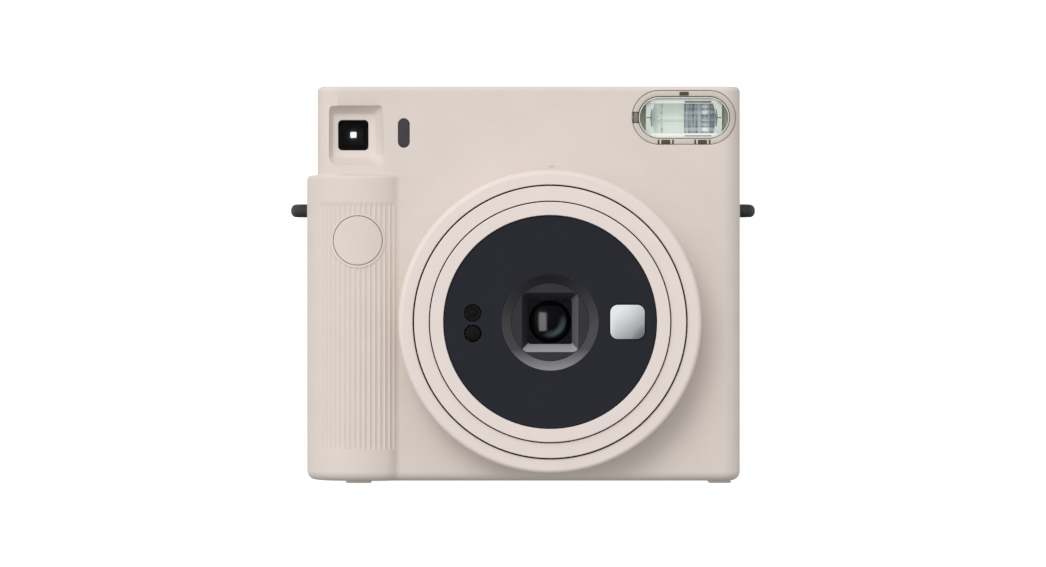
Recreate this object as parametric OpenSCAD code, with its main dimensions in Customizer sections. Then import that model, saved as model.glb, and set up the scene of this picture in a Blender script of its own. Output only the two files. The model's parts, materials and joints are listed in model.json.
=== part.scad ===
// Square-format instant camera, lens drawn in, standing on its two feet.
// Millimetres. Origin: middle of the footprint, on the surface that it stands on.
// +X is the viewer's right when looking at the lens, the lens faces -Y, +Z is up.

/* [Body] */
// Width across the side faces of the covers
body_w = 130.7; // [130:0.1:132]
// Height of the covers' top face above the resting surface
body_top = 119.4; // [119.2:0.1:121]
// Depth from the lens rim to the back of the film door
body_depth = 57.5; // [57.5:0.1:58.5]
// Thickness of the cover walls
wall = 2; // [1.8:0.1:2]
// Radius of the upright outer edges
corner_r = 5.5; // [5:0.1:6]
// Height of the feet under the covers
foot_h = 0.8; // [0.6:0.1:1]

/* [Grip] */
// Radius of the half-round grip
grip_r = 17.9; // [17.7:0.1:18]
// Height of the step at the top of the grip
grip_top = 92.8; // [92.5:0.1:93]
// Radius of the cutter that makes each flute
flute_r = 1.1; // [1:0.1:1.4]
// Lowest and highest point of the flutes
flute_z0 = 10.3; // [10:0.1:12]
flute_z1 = 84.8; // [84:0.1:87]

/* [Lens] */
// Sideways place of the lens axis
lens_x = 8.1; // [8:0.1:8.3]
// Height of the lens axis
lens_z = 48.6; // [48.5:0.1:49]
// Outer radius of the fixed collar
collar_r = 45.2; // [45:0.1:45.5]
// Turn of the lens ring from off to selfie, in degrees
ring_turn = 60; // [50:1:60]
// Stroke of the lens barrel over that turn
barrel_stroke = 12; // [10:0.5:12]

/* [Film] */
// Width, height and thickness of the film pack
pack_w = 79; // [78:0.5:79]
pack_h = 92.5; // [91:0.5:92.5]
pack_t = 16.5; // [15:0.5:16.5]

/* [Strap lugs] */
// How far each lug stands out of the side
lug_reach = 5.2; // [5:0.1:6]
// Thickness of each lug
lug_t = 3.6; // [3:0.1:4]
// Radius of the strap hole
lug_hole_r = 1.6; // [1.4:0.1:1.7]

/* [Hidden] */
$fn = 96;
eps = 0.05;
half_w = body_w / 2;

// Planes from front to back
front_y = -body_depth / 2;
back_y = body_depth / 2;
face_y = front_y + 14.75;
parting_y = 4;
rear_wall_y = back_y - 3;
rear_wall_in = rear_wall_y - wall;
door_in_y = back_y - 2.75;

// Grip and the narrower shoulder above it
grip_x = -half_w + grip_r;
grip_y = 0.3;
shoulder_x = -half_w + 3.35;
flute_pitch = 5.03;
ridge_cut = 0.04;
flute_first = -10;
flute_last = 6;

// Shutter button
button_x = -49.6;
button_z = 73;
button_r = 7.35;
button_clear = 0.25;
button_ring_r = 8.2;
button_back_y = -11;
button_travel = 1.2;

// Viewfinder
finder_x = -51.1;
finder_z = 105.1;
finder_mouth = 16.5;
finder_shift = 0.4;
finder_floor = 9.6;
finder_floor_y = face_y + 4.2;
pill_x = -35.8;
pill_z = 105.3;
pill_w = 3.45;
pill_h = 8.7;

// Flash
flash_x = 48.4;
flash_z = 110;
flash_w = 31.2;
flash_h = 16.2;
reflector_w = 22.9;
reflector_h = 12.3;
reflector_y0 = face_y + 1.9;
reflector_y1 = face_y + 7.6;

// Lens barrel stack, radii from the outside in
collar_wall = 2;
collar_lip_r = 41;
ring_r = 40.4;
ring_front_in = 36.25;
ring_tube_in = 38.6;
guide_r = 38.3;
guide_in = 36.4;
barrel_r = 35.85;
barrel_in = 34.2;
face_r = 31.9;
collar_y = front_y + 1.75;
ring_y = front_y + 0.85;
lip_t = 1.6;
base_y0 = -4;
base_t = 2;
base_half = 42;
barrel_back_y = -5;
cam_y = -7;
cam_pin_r = 1;
cam_slot_half = 6;
cam_margin = 1.3;
disc_y = front_y + 0.65;
septum_y = disc_y + 2.2;
septum_t = 1.5;
cone_r = 14.5;
cone_floor_r = 11.7;
cone_depth = 2.1;
hood_y1 = -22.4;
square_mouth = 18;
square_floor = 12.8;
lens_r = 6.3;
sensor_dx = -23.1;
sensor_r = 2.6;
sensor_up = 2.7;
sensor_down = -3.4;
mirror_dx = 23.1;
mirror_w = 10.6;
mirror_corner = 2.4;

// Shutter
shutter_r = 24;
shutter_y0 = -18.8;
cavity_y0 = -17.6;
cavity_y1 = -16.2;
shutter_y1 = -14.4;
cavity_r = 20.5;
blade_t = 0.3;
blade_r = 7;
blade_dx = 2.5;
blade_drop = 13;
aperture_r = 4;
blade_pin_r = 0.8;
running = 0.05;
post_pcr = 21.5;

// Film chamber
pack_x = lens_x;
pack_y0 = 8.5;
pack_z0 = 7.5;
frame_wall = 1.5;
frame_gap = 0.4;
frame_x0 = pack_x - pack_w / 2 - frame_gap - frame_wall;
frame_x1 = pack_x + pack_w / 2 + frame_gap + frame_wall;
frame_plate_y = 5;
frame_plate_t = 3;
gate = 62;
throat = 70;

// Rollers and gears, all turning about lines along X
roller_r = 3.95;
roller_x0 = -30;
roller_x1 = 46;
roller_y = 5.8;
roller_z = 104.6;
roller_gap = 8;
journal_r = 1.5;
gear_x0 = frame_x1 + 0.7;
gear_t = 2.6;
gear_module = 0.5;
gear_addendum = 0.8;
gear_dedendum = 1.1;
gear_slack = 0.05;
roller_teeth = 16;
idler_teeth = 24;
pinion_teeth = 10;
pressure_angle = 20;
idler_y = roller_y;
idler_z = roller_z - gear_module * (roller_teeth + idler_teeth) / 2;
pinion_angle = 165;
pinion_distance = gear_module * (idler_teeth + pinion_teeth) / 2;
pinion_y = idler_y + pinion_distance * cos(pinion_angle);
pinion_z = idler_z + pinion_distance * sin(pinion_angle);
motor_r = 5.9;
motor_x0 = 27;
motor_x1 = frame_x1 - frame_wall - 0.2;
motor_shaft_r = 0.75;
plate_z0 = 88.5;
plate_z1 = 110.5;
exit_y0 = 8.3;
exit_y1 = 11.3;

// Film door on the back
door_x0 = -40;
door_x1 = 54.8;
door_z0 = 4.5;
door_z1 = 114;
door_corner = 6;
door_axis_x = 56.6;
door_axis_y = back_y - 1.75;
door_knuckle_r = 1.7;
door_pin_r = 0.8;
chamber_x0 = frame_x0;
chamber_x1 = frame_x1;
chamber_z0 = 6.3;
chamber_z1 = 101.5;
latch_z = 58;
latch_x = -36.4;
latch_l = 16;
window_x = -14;
window_z = 50;
window_w = 12;
window_h = 32;

// Battery bay on the left
cell_r = 7.8;
cell_h = 27;
cell_x = -54.5;
cell_y = 13;
cell_z0 = 12.6;
bay_z0 = 11;
bay_z1 = 69;
bay_y0 = 5.4;
bay_y1 = 22;
bay_axis_y = 7.2;
bay_knuckle_r = 1.35;
bay_axis_x = -half_w + bay_knuckle_r;
bay_pin_r = 0.6;
bay_lug_h = 1.9;

// Small things at the back left
counter_x = -53;
counter_z = 79;
counter_r = 7;
counter_window_z = 84;
counter_window_r = 2.6;
lamp_x = -45;
lamp_z = 92;
lamp_r = 1.6;
lug_y = 9.5;
lug_z = 82.4;
lug_w = 8;

// Case screws: left pair, then right pair
screw_places = [[-57, 7.2], [-57, 90], [61, 8.5], [61, 96]];
screw_r = 1.2;
boss_r = 2.6;

cream = [0.87, 0.83, 0.80];
ring_cream = [0.90, 0.86, 0.84];
black = [0.16, 0.16, 0.18];
grey = [0.35, 0.35, 0.37];
clear = [0.80, 0.88, 0.90, 0.5];
steel = [0.75, 0.76, 0.78];

// ---- shared shapes ----

// Flat outline in X and Z, thickened from y0 to y1
module slab(y0, y1) {
    translate([0, y1, 0]) rotate([90, 0, 0]) linear_extrude(y1 - y0) children();
}

// Round bar along Y at (x, z)
module bar_y(x, z, r, y0, y1) {
    translate([x, y0, z]) rotate([-90, 0, 0]) cylinder(h = y1 - y0, r = r);
}

// Round bar along X at (y, z)
module bar_x(y, z, r, x0, x1) {
    translate([x0, y, z]) rotate([0, 90, 0]) cylinder(h = x1 - x0, r = r);
}

// Outline of radius and depth, turned about the lens axis
module lathe(points) {
    translate([lens_x, 0, lens_z]) rotate([-90, 0, 0]) rotate_extrude() polygon(points);
}

// Ring about the lens axis
module lens_tube(r_out, r_in, y0, y1) {
    lathe([[r_in, y0], [r_out, y0], [r_out, y1], [r_in, y1]]);
}

// Box given by its two corners
module block(low, high) {
    translate(low) cube(high - low);
}

// Rectangle with round corners, given by its two corners
module rounded_rect(x0, x1, y0, y1, r) {
    translate([x0 + r, y0]) square([x1 - x0 - 2 * r, y1 - y0]);
    translate([x0, y0 + r]) square([x1 - x0, y1 - y0 - 2 * r]);
    for (x = [x0 + r, x1 - r], y = [y0 + r, y1 - r]) translate([x, y]) circle(r);
}

// Rectangle with round corners, given by its middle and sizes
module rounded_pad(x, z, w, h, r) {
    rounded_rect(x - w / 2, x + w / 2, z - h / 2, z + h / 2, r);
}

// Upright pill or lying stadium
module stadium(x, z, w, h) {
    r = min(w, h) / 2;
    translate([x - max(w / 2 - r, r / 2), z - max(h / 2 - r, r / 2)])
        square([2 * max(w / 2 - r, r / 2), 2 * max(h / 2 - r, r / 2)]);
    translate([x - w / 2 + (w > h ? r : 0), z - h / 2 + (w > h ? 0 : r)])
        square([w - (w > h ? 2 * r : 0), h - (w > h ? 0 : 2 * r)]);
    for (s = [-1, 1]) translate([x + s * (w / 2 - r), z + s * (h / 2 - r)]) circle(r);
}

// Square pocket that narrows along +Y
module square_funnel(x, z, mouth, floor_w, y0, y1) {
    translate([x, y0, z]) rotate([-90, 0, 0])
        linear_extrude(y1 - y0, scale = floor_w / mouth) square(mouth, center = true);
}

// Plan of the covers below the step, drawn in by the given inset
module lower_plan(inset) {
    r = corner_r - inset;
    left = -half_w + inset;
    back = rear_wall_y - inset;
    rounded_rect(grip_x, half_w - inset, face_y + inset, back, r);
    translate([grip_x, grip_y]) circle(grip_r - inset);
    translate([left, grip_y]) square([grip_x + corner_r - left, back - r - grip_y]);
    translate([left + r, grip_y]) square([grip_x - left, back - grip_y]);
    translate([left + r, back - r]) circle(r);
}

// Plan of the covers above the step
module upper_plan(inset) {
    rounded_rect(shoulder_x + inset, half_w - inset, face_y + inset, rear_wall_y - inset, corner_r - inset);
}

// Solid inside the covers' outer faces, drawn in by the given inset on every side
module body_solid(inset) {
    translate([0, 0, foot_h + inset]) linear_extrude(grip_top - foot_h - 2 * inset) lower_plan(inset);
    translate([0, 0, foot_h + inset]) linear_extrude(body_top - foot_h - 2 * inset) upper_plan(inset);
}

// The body's hollow shell between two depths
module body_shell(y0, y1) {
    intersection() {
        difference() {
            body_solid(0);
            body_solid(wall);
        }
        block([-half_w - 1, y0, 0], [half_w + 1, y1, body_top + 1]);
    }
}

// Upright flutes around the front of the grip, kept clear of the shutter button
module flutes() {
    half_chord = grip_r * sin(flute_pitch / 2);
    centre_r = grip_r * cos(flute_pitch / 2) + sqrt(flute_r * flute_r - half_chord * half_chord) - ridge_cut;
    difference() {
        for (k = [flute_first:flute_last]) {
            a = (k + 0.5) * flute_pitch;
            translate([grip_x + centre_r * sin(a), grip_y - centre_r * cos(a), flute_z0])
                cylinder(h = flute_z1 - flute_z0, r = flute_r, $fn = 32);
        }
        bar_y(button_x, button_z, button_ring_r, front_y, 0);
    }
}

// Points of one ring of a round wire coil
function coil_ring(coil_r, wire_r, turn_angle, rise, sides) = [
    for (k = [0:sides - 1])
        let (q = coil_r + wire_r * cos(360 * k / sides))
        [q * cos(turn_angle), q * sin(turn_angle), rise + wire_r * sin(360 * k / sides)]
];

// Compression spring of round wire, standing on z = 0
module coil_spring(coil_r, wire_r, length, turns) {
    sides = 8;
    rings = 14 * turns;
    lead = (length - 2 * wire_r) / rings;
    points = [
        for (i = [0:rings]) each coil_ring(coil_r, wire_r, 360 * i / 14, wire_r + i * lead, sides)
    ];
    skin = [
        for (i = [0:rings - 1], k = [0:sides - 1])
            let (n = (k + 1) % sides)
            [i * sides + k, (i + 1) * sides + k, (i + 1) * sides + n, i * sides + n]
    ];
    first_cap = [for (k = [0:sides - 1]) k];
    last_cap = [for (k = [0:sides - 1]) rings * sides + sides - 1 - k];
    polyhedron(points, concat(skin, [first_cap, last_cap]), convexity = 8);
}

// Involute function of the pressure angle at radius r, in degrees
function involute(base_r, r) = let (a = acos(min(1, base_r / r))) tan(a) * 180 / PI - a;

// Half the angle that one tooth covers at radius r
function half_tooth(teeth, r) =
    let (pitch_r = gear_module * teeth / 2, base_r = pitch_r * cos(pressure_angle))
    90 / teeth - gear_slack / pitch_r * 180 / PI + involute(base_r, pitch_r) - involute(base_r, max(r, base_r));

// Outline of one gear, its first tooth pointing at the angle phase
function gear_outline(teeth, phase) =
    let (pitch_r = gear_module * teeth / 2, root = pitch_r - gear_dedendum * gear_module,
        tip = pitch_r + gear_addendum * gear_module, steps = 4)
    [
        for (i = [0:teeth - 1], side = [-1, 1], k = [0:steps])
            let (r = side < 0 ? root + (tip - root) * k / steps : tip - (tip - root) * k / steps,
                a = phase + 360 * i / teeth + side * half_tooth(teeth, r))
            [r * cos(a), r * sin(a)]
    ];

// Phase that puts gear 2 in mesh with gear 1, seen from gear 1 in the given direction
function mesh_phase(direction, phase, teeth, next_teeth) =
    direction + 180 - 360 / next_teeth * (0.5 - (direction - phase) * teeth / 360);

// Gear on a line along X
module gear(y, z, teeth, phase, bore_r) {
    translate([gear_x0, y, z]) rotate([90, 0, 90]) difference() {
        linear_extrude(gear_t) polygon(gear_outline(teeth, phase));
        translate([0, 0, -1]) cylinder(h = gear_t + 2, r = bore_r);
    }
}

idler_phase = mesh_phase(-90, 0, roller_teeth, idler_teeth);

// ---- covers ----

module front_cover() {
    color(cream) difference() {
        union() {
            body_shell(front_y, parting_y);
            // Block behind the viewfinder recess
            intersection() {
                slab(face_y + 0.5, finder_floor_y + 1.6)
                    rounded_pad(finder_x, finder_z, finder_mouth + 3, finder_mouth + 3, 2);
                body_solid(0.3);
            }
            // Sleeve around the shutter button
            intersection() {
                bar_y(button_x, button_z, button_r + 1.9, front_y, button_back_y - 0.3);
                body_solid(0.5);
            }
            // Bosses that take the case screws
            for (p = screw_places) intersection() {
                bar_y(p[0], p[1], boss_r, front_y, parting_y);
                body_solid(0.5);
            }
        }
        flutes();
        bar_y(lens_x, lens_z, collar_r - 1.2, front_y, -9);
        square_funnel(finder_x + finder_shift, finder_z, finder_mouth, finder_floor + 1.6, face_y - eps,
            finder_floor_y);
        slab(face_y, finder_floor_y + 3) rounded_pad(finder_x, finder_z, finder_floor, finder_floor, 1.2);
        slab(face_y - 1, face_y + wall + 1) stadium(pill_x, pill_z, pill_w + 0.1, pill_h + 0.1);
        slab(face_y - 1, face_y + corner_r) stadium(flash_x, flash_z, flash_w + 0.1, flash_h + 0.1);
        bar_y(button_x, button_z, button_r + button_clear, front_y, -8);
        for (p = screw_places) bar_y(p[0], p[1], screw_r + 0.02, -4, parting_y + 1);
    }
}

module rear_cover() {
    color(cream) difference() {
        union() {
            body_shell(parting_y, back_y);
            // Bosses that the case screws pass through
            for (p = screw_places) intersection() {
                bar_y(p[0], p[1], boss_r, parting_y, rear_wall_y - 0.5);
                body_solid(0.5);
            }
            // Ears that hold the battery door's pin
            for (z = [bay_z0 - bay_lug_h, bay_z1])
                block([-half_w + 0.3, bay_y0, z], [bay_axis_x + 1.8, bay_y0 + 3.4, z + bay_lug_h]);
            // Knuckles that hold the film door's pin
            for (z = [door_z0 + 1, door_z1 - 7]) translate([door_axis_x, door_axis_y, z])
                cylinder(h = 6, r = door_knuckle_r);
            for (z = [door_z0 + 1, door_z1 - 7])
                block([door_axis_x - 1, rear_wall_in, z], [door_axis_x + 1, door_axis_y, z + 6]);
            // Spindle of the film counter
            bar_y(counter_x, counter_z, 1.2, 21, rear_wall_in + 0.5);
            // Rails beside the exit slot
            for (y = [exit_y0 - 3.4, exit_y1 + 2.2])
                block([roller_x0 - 1, y, body_top - wall - 3], [roller_x1 + 1, y + 1.2, body_top - wall + 0.5]);
        }
        slab(rear_wall_in - 1, back_y) rounded_rect(chamber_x0, chamber_x1, chamber_z0, chamber_z1, 3);
        slab(rear_wall_in - 1, back_y) rounded_pad(finder_x, finder_z, 9, 9, 1);
        slab(rear_wall_in - 1, back_y)
            rounded_rect(latch_x - 1.4, chamber_x0 + 1, latch_z - 7, latch_z + 7, 0.6);
        block([roller_x0, exit_y0, body_top - wall - 1], [roller_x1, exit_y1, body_top + 1]);
        block([-half_w - 1, bay_y0, bay_z0], [-half_w + wall + 0.2, bay_y1, bay_z1]);
        translate([bay_axis_x, bay_axis_y, bay_z0 - 1.5]) cylinder(h = bay_z1 - bay_z0 + 3, r = bay_pin_r);
        // Groove that the film door's knuckle turns in
        translate([door_axis_x, door_axis_y, door_z0 + 7])
            cylinder(h = door_z1 - door_z0 - 14, r = door_knuckle_r + 0.4);
        translate([door_axis_x, door_axis_y, door_z0 + 2])
            cylinder(h = door_z1 - door_z0 - 4, r = door_pin_r);
        bar_y(counter_x, counter_window_z, counter_window_r + 0.05, rear_wall_in - 1, back_y);
        bar_y(lamp_x, lamp_z, lamp_r + 0.05, rear_wall_in - 1, back_y);
        for (p = screw_places) bar_y(p[0], p[1], screw_r + 0.02, parting_y - 1, back_y);
        for (p = screw_places) bar_y(p[0], p[1], 2.3, rear_wall_y - 1.4, back_y);
        for (s = [-1, 1]) translate([s * half_w, lug_y, lug_z])
            cube([2 * wall + 2, lug_w - 1.9, lug_t + 0.1], center = true);
    }
}

module feet() {
    color(cream) for (f = [[-50, 8.5], [59.3, 6.7]])
        linear_extrude(foot_h) rounded_rect(f[0] - f[1] / 2, f[0] + f[1] / 2, -9, 21, 1.5);
}

module strap_lugs() {
    color(black) for (s = [-1, 1]) difference() {
        translate([0, 0, lug_z - lug_t / 2]) linear_extrude(lug_t) {
            intersection() {
                translate([s * (half_w + lug_reach - lug_w / 2), lug_y]) circle(lug_w / 2);
                translate([s * (half_w + lug_w / 2), lug_y]) square(lug_w, center = true);
            }
            translate([s * (half_w - wall - 0.2), lug_y]) square([6, lug_w - 2], center = true);
            translate([s * (half_w - wall - 0.9), lug_y]) square([1.6, lug_w + 2], center = true);
        }
        translate([s * (half_w + lug_reach - lug_w / 2 + 0.6), lug_y, lug_z - lug_t])
            cylinder(h = 2 * lug_t, r = lug_hole_r);
    }
}

module case_screws() {
    color(steel) for (p = screw_places) difference() {
        union() {
            bar_y(p[0], p[1], screw_r, -3.8, rear_wall_y - 1.4);
            bar_y(p[0], p[1], 2.2, rear_wall_y - 1.4, rear_wall_y - 0.2);
        }
        for (a = [0, 90]) translate([p[0], rear_wall_y, p[1]]) rotate([0, a, 0])
            cube([2.6, 1.6, 0.6], center = true);
    }
}

// ---- lens assembly ----

module lens_collar() {
    color(ring_cream) lathe([
        [collar_lip_r, collar_y], [collar_r - 1, collar_y], [collar_r, collar_y + 1],
        [collar_r, face_y], [collar_r - 1.25, face_y], [collar_r - 1.25, face_y + 3],
        [collar_r - collar_wall, face_y + 3], [collar_r - collar_wall, collar_y + lip_t],
        [collar_lip_r, collar_y + lip_t]
    ]);
}

// Slots that run round the ring as they go forward; each pushes one pin of the barrel
module cam_slots() {
    degrees_per_mm = ring_turn / barrel_stroke;
    length = barrel_stroke + 2 * cam_margin;
    for (a = [90, 210, 330]) translate([lens_x, cam_y + cam_margin, lens_z]) rotate([90, 0, 0])
        linear_extrude(length, twist = length * degrees_per_mm, slices = 16, segments = 6)
            rotate(a + cam_margin * degrees_per_mm) polygon([
                for (t = [-1, 0, 1]) (ring_tube_in - 1) * [cos(t * cam_slot_half), sin(t * cam_slot_half)],
                for (t = [1, 0, -1]) (ring_r + 1) * [cos(t * cam_slot_half), sin(t * cam_slot_half)]
            ]);
}

module lens_ring() {
    color(ring_cream) difference() {
        lathe([
            [ring_front_in, ring_y + 0.3], [ring_front_in + 0.3, ring_y], [ring_r - 0.4, ring_y],
            [ring_r, ring_y + 0.4], [ring_r, collar_y + lip_t + 0.6], [collar_r - collar_wall - 0.6,
            collar_y + lip_t + 0.6], [collar_r - collar_wall - 0.6, collar_y + lip_t + 2.4],
            [ring_r, collar_y + lip_t + 2.4], [ring_r, base_y0 - 0.4], [ring_tube_in, base_y0 - 0.4],
            [ring_tube_in, ring_y + 3.9], [ring_front_in, ring_y + 3.9]
        ]);
        cam_slots();
    }
}

module lens_base() {
    color(black) difference() {
        union() {
            slab(base_y0, base_y0 + base_t) rounded_pad(lens_x, lens_z, 2 * base_half, 2 * base_half, 6);
            lens_tube(guide_r, guide_in, ring_y + 4.6, base_y0 + 1);
        }
        bar_y(lens_x, lens_z, guide_in, front_y, base_y0 + base_t + 1);
        for (a = [90, 210, 330]) translate([lens_x, 0, lens_z]) rotate([0, -a, 0])
            block([guide_in - 2, cam_y - barrel_stroke - 1.4, -1.2], [guide_r + 0.2, base_y0, 1.2]);
    }
}

module lens_barrel() {
    post_r = 2;
    color(ring_cream) difference() {
        union() {
            lathe([
                [face_r, front_y], [barrel_r - 0.5, front_y], [barrel_r, front_y + 0.5],
                [barrel_r, barrel_back_y], [barrel_in, barrel_back_y], [barrel_in, septum_y + septum_t],
                [cone_floor_r + 0.1, septum_y + septum_t], [cone_floor_r + 0.1, septum_y], [face_r, septum_y]
            ]);
            // Pins that ride in the cam slots
            for (a = [90, 210, 330]) translate([lens_x, cam_y, lens_z]) rotate([0, -a, 0])
                translate([barrel_in + 0.5, 0, 0]) rotate([0, 90, 0])
                    cylinder(h = ring_r - 0.2 - barrel_in - 0.5, r = cam_pin_r);
            // Posts that carry the shutter
            for (a = [30, 150, 270]) bar_y(lens_x + post_pcr * cos(a), lens_z + post_pcr * sin(a), post_r,
                septum_y + 0.5, shutter_y0);
        }
        for (dz = [sensor_up, sensor_down])
            bar_y(lens_x + sensor_dx, lens_z + dz, sensor_r - 0.8, front_y, -20);
    }
}

module lens_face() {
    color(black) difference() {
        lathe([
            [cone_floor_r - 0.05, disc_y + cone_depth], [cone_r, disc_y], [face_r - 0.35, disc_y],
            [face_r - 0.05, disc_y + 0.3], [face_r - 0.05, septum_y], [cone_floor_r - 0.05, septum_y]
        ]);
        for (dz = [sensor_up, sensor_down])
            bar_y(lens_x + sensor_dx, lens_z + dz, sensor_r + 0.05, front_y, -20);
        slab(front_y, disc_y + 0.85) rounded_pad(lens_x + mirror_dx, lens_z, mirror_w + 0.2, mirror_w + 0.2,
            mirror_corner + 0.1);
    }
}

module lens_hood() {
    color(black) difference() {
        bar_y(lens_x, lens_z, cone_floor_r - 0.1, disc_y + cone_depth, hood_y1);
        square_funnel(lens_x, lens_z, square_mouth, square_floor, disc_y + cone_depth - eps, hood_y1 + eps);
    }
}

module lens_cell() {
    color(black) lens_tube(10.5, lens_r + 0.05, hood_y1, shutter_y0);
}

// Disc of glass with a bulging front and a bulging or hollow back
module glass_disc(r, y_front, y_back, front_bulge, back_bulge) {
    steps = 6;
    color(clear) lathe(concat(
        [for (i = [0:steps]) [r * i / steps, y_front + front_bulge * pow(i / steps, 2)]],
        [for (i = [steps:-1:0]) [r * i / steps, y_back - back_bulge * pow(i / steps, 2)]]
    ));
}

module front_lens() {
    glass_disc(lens_r, hood_y1 + 0.3, shutter_y0 - 0.4, 1.1, -0.3);
}

module rear_lens() {
    glass_disc(lens_r + 0.5, shutter_y1 + 0.6, shutter_y1 + 3.3, -0.5, 0.9);
}

module shutter_base() {
    color(black) {
        lens_tube(shutter_r, cavity_r, cavity_y0, cavity_y1);
        lens_tube(shutter_r, aperture_r + 0.3, cavity_y1, shutter_y1);
        lens_tube(lens_r + 2.2, lens_r + 0.55, shutter_y1, shutter_y1 + 3.6);
        for (s = [-1, 1]) bar_y(lens_x + s * blade_dx, lens_z - blade_drop, blade_pin_r,
            cavity_y0 + 0.1, shutter_y1);
        // Solenoid that throws the blades
        block([lens_x - 6, shutter_y1, lens_z - 20], [lens_x + 6, shutter_y1 + 4.5, lens_z - 12]);
    }
}

module shutter_cover() {
    color(grey) lens_tube(shutter_r, aperture_r + 0.3, shutter_y0, cavity_y0);
}

// One blade, its disc over the lens axis and its arm down to the pin; side is -1 or 1
module shutter_blade(side, y0) {
    x = lens_x + side * blade_dx;
    color(grey) difference() {
        slab(y0, y0 + blade_t) {
            translate([x, lens_z]) circle(blade_r);
            translate([x - 1.8, lens_z - blade_drop]) square([3.6, blade_drop]);
            translate([x, lens_z - blade_drop]) circle(1.8);
        }
        bar_y(x, lens_z - blade_drop, blade_pin_r + running, y0 - 1, y0 + 1);
        bar_y(lens_x + side * -blade_dx, lens_z - blade_drop, 2.6, y0 - 1, y0 + 1);
    }
}

module shutter_blade_a() {
    shutter_blade(-1, cavity_y0 + 0.25);
}

module shutter_blade_b() {
    shutter_blade(1, cavity_y0 + 0.85);
}

module light_sensor_lens() {
    color(grey) difference() {
        bar_y(lens_x + sensor_dx, lens_z + sensor_up, sensor_r, disc_y + 0.1, septum_y);
        bar_y(lens_x + sensor_dx, lens_z + sensor_up, 1.7, disc_y, disc_y + 0.7);
    }
    color(clear) bar_y(lens_x + sensor_dx, lens_z + sensor_up, 1.1, disc_y + 0.7, disc_y + 1.1);
}

module flash_sensor_window() {
    color(black) bar_y(lens_x + sensor_dx, lens_z + sensor_down, sensor_r, disc_y + 0.1, septum_y);
}

module selfie_mirror() {
    color(steel) slab(disc_y + 0.05, disc_y + 0.85)
        rounded_pad(lens_x + mirror_dx, lens_z, mirror_w, mirror_w, mirror_corner);
}

// ---- viewfinder, light window, flash ----

module viewfinder_window() {
    color(clear) slab(finder_floor_y + 0.1, finder_floor_y + 1.3)
        rounded_pad(finder_x, finder_z, finder_floor - 0.1, finder_floor - 0.1, 1.1);
}

module viewfinder_tube() {
    outer = 11.4;
    color(black) difference() {
        slab(finder_floor_y + 1.7, rear_wall_in - 0.1) rounded_pad(finder_x, finder_z, outer, outer, 1);
        slab(finder_floor_y, rear_wall_in - 2) rounded_pad(finder_x, finder_z, outer - 2, outer - 2, 0.6);
        slab(0, back_y) rounded_pad(finder_x, finder_z, 6, 6, 0.6);
    }
}

module viewfinder_eyepiece() {
    color(clear) slab(rear_wall_in + 0.2, rear_wall_in + 1.4)
        rounded_pad(finder_x, finder_z, 8.8, 8.8, 0.9);
}

module eyepiece_frame() {
    color(black) difference() {
        slab(rear_wall_y, back_y - 0.8) rounded_pad(finder_x, finder_z, 14.5, 14.5, 3);
        slab(rear_wall_y - 1, back_y) rounded_pad(finder_x, finder_z, 8.4, 8.4, 1.2);
    }
}

module light_window() {
    color(grey) slab(face_y + 0.15, face_y + wall + 0.3) stadium(pill_x, pill_z, pill_w, pill_h);
}

module flash_window() {
    color(clear) intersection() {
        slab(face_y - 1, face_y + corner_r) stadium(flash_x, flash_z, flash_w, flash_h);
        difference() {
            body_solid(0.05);
            body_solid(wall - 0.3);
        }
    }
}

module flash_reflector() {
    bowl_r = 7;
    color(steel) difference() {
        slab(reflector_y0, reflector_y1) rounded_pad(flash_x, flash_z - 0.35, reflector_w, reflector_h, 0.8);
        intersection() {
            bar_x(reflector_y0 - 2, flash_z - 0.35, bowl_r, flash_x - 20, flash_x + 20);
            slab(reflector_y0 - 1, reflector_y1)
                rounded_pad(flash_x, flash_z - 0.35, reflector_w - 1.6, reflector_h - 1, 0.6);
        }
        bar_x(reflector_y0 + 2.4, flash_z - 0.35, 1.1, flash_x - 20, flash_x + 20);
    }
}

module flash_tube() {
    color(clear) bar_x(reflector_y0 + 2.4, flash_z - 0.35, 1, flash_x - reflector_w / 2 - 1,
        flash_x + reflector_w / 2 + 1);
}

module flash_frame() {
    color(grey) difference() {
        slab(reflector_y0 + 0.4, reflector_y1 + 0.8)
            rounded_pad(flash_x, flash_z - 0.35, reflector_w + 2.4, reflector_h + 2.2, 1.6);
        slab(reflector_y0 - 1, reflector_y1 + 0.05)
            rounded_pad(flash_x, flash_z - 0.35, reflector_w + 0.1, reflector_h + 0.1, 0.8);
        bar_x(reflector_y0 + 2.4, flash_z - 0.35, 1.15, flash_x - 20, flash_x + 20);
    }
}

module flash_capacitor() {
    color(black) translate([56.9, -3, 16]) difference() {
        cylinder(h = 30, r = 6.2);
        translate([0, 0, 27.5]) rotate_extrude() translate([6.2, 0]) circle(0.6);
    }
}

// ---- shutter button ----

module shutter_button() {
    color(cream) {
        intersection() {
            bar_y(button_x, button_z, button_r, front_y, button_back_y);
            translate([grip_x, grip_y, button_z - 15]) cylinder(h = 30, r = grip_r - 0.1);
        }
        bar_y(button_x, button_z, button_r + 1, button_back_y, button_back_y + 1);
    }
}

module button_spring() {
    color(steel) translate([button_x, button_back_y + 1.05, button_z]) rotate([-90, 0, 0])
        coil_spring(5.2, 0.3, -4.05 - button_back_y - 1.05, 4);
}

module button_switch() {
    color(black) block([button_x - 3, -7.2, button_z - 3], [button_x + 3, -4, button_z + 3]);
    color(steel) bar_y(button_x, button_z, 1.6, -8.7, -7.2);
}

module circuit_board() {
    color("darkgreen") block([-61, -4, 18], [-36, -2.4, 84]);
    color(black) block([-45, -6, 52], [-38, -4, 59]);
    color("gold") block([-58, -11, 30], [-47, -4, 42]);
    color(black) block([-44, -8, 22], [-38, -4, 30]);
}

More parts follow.
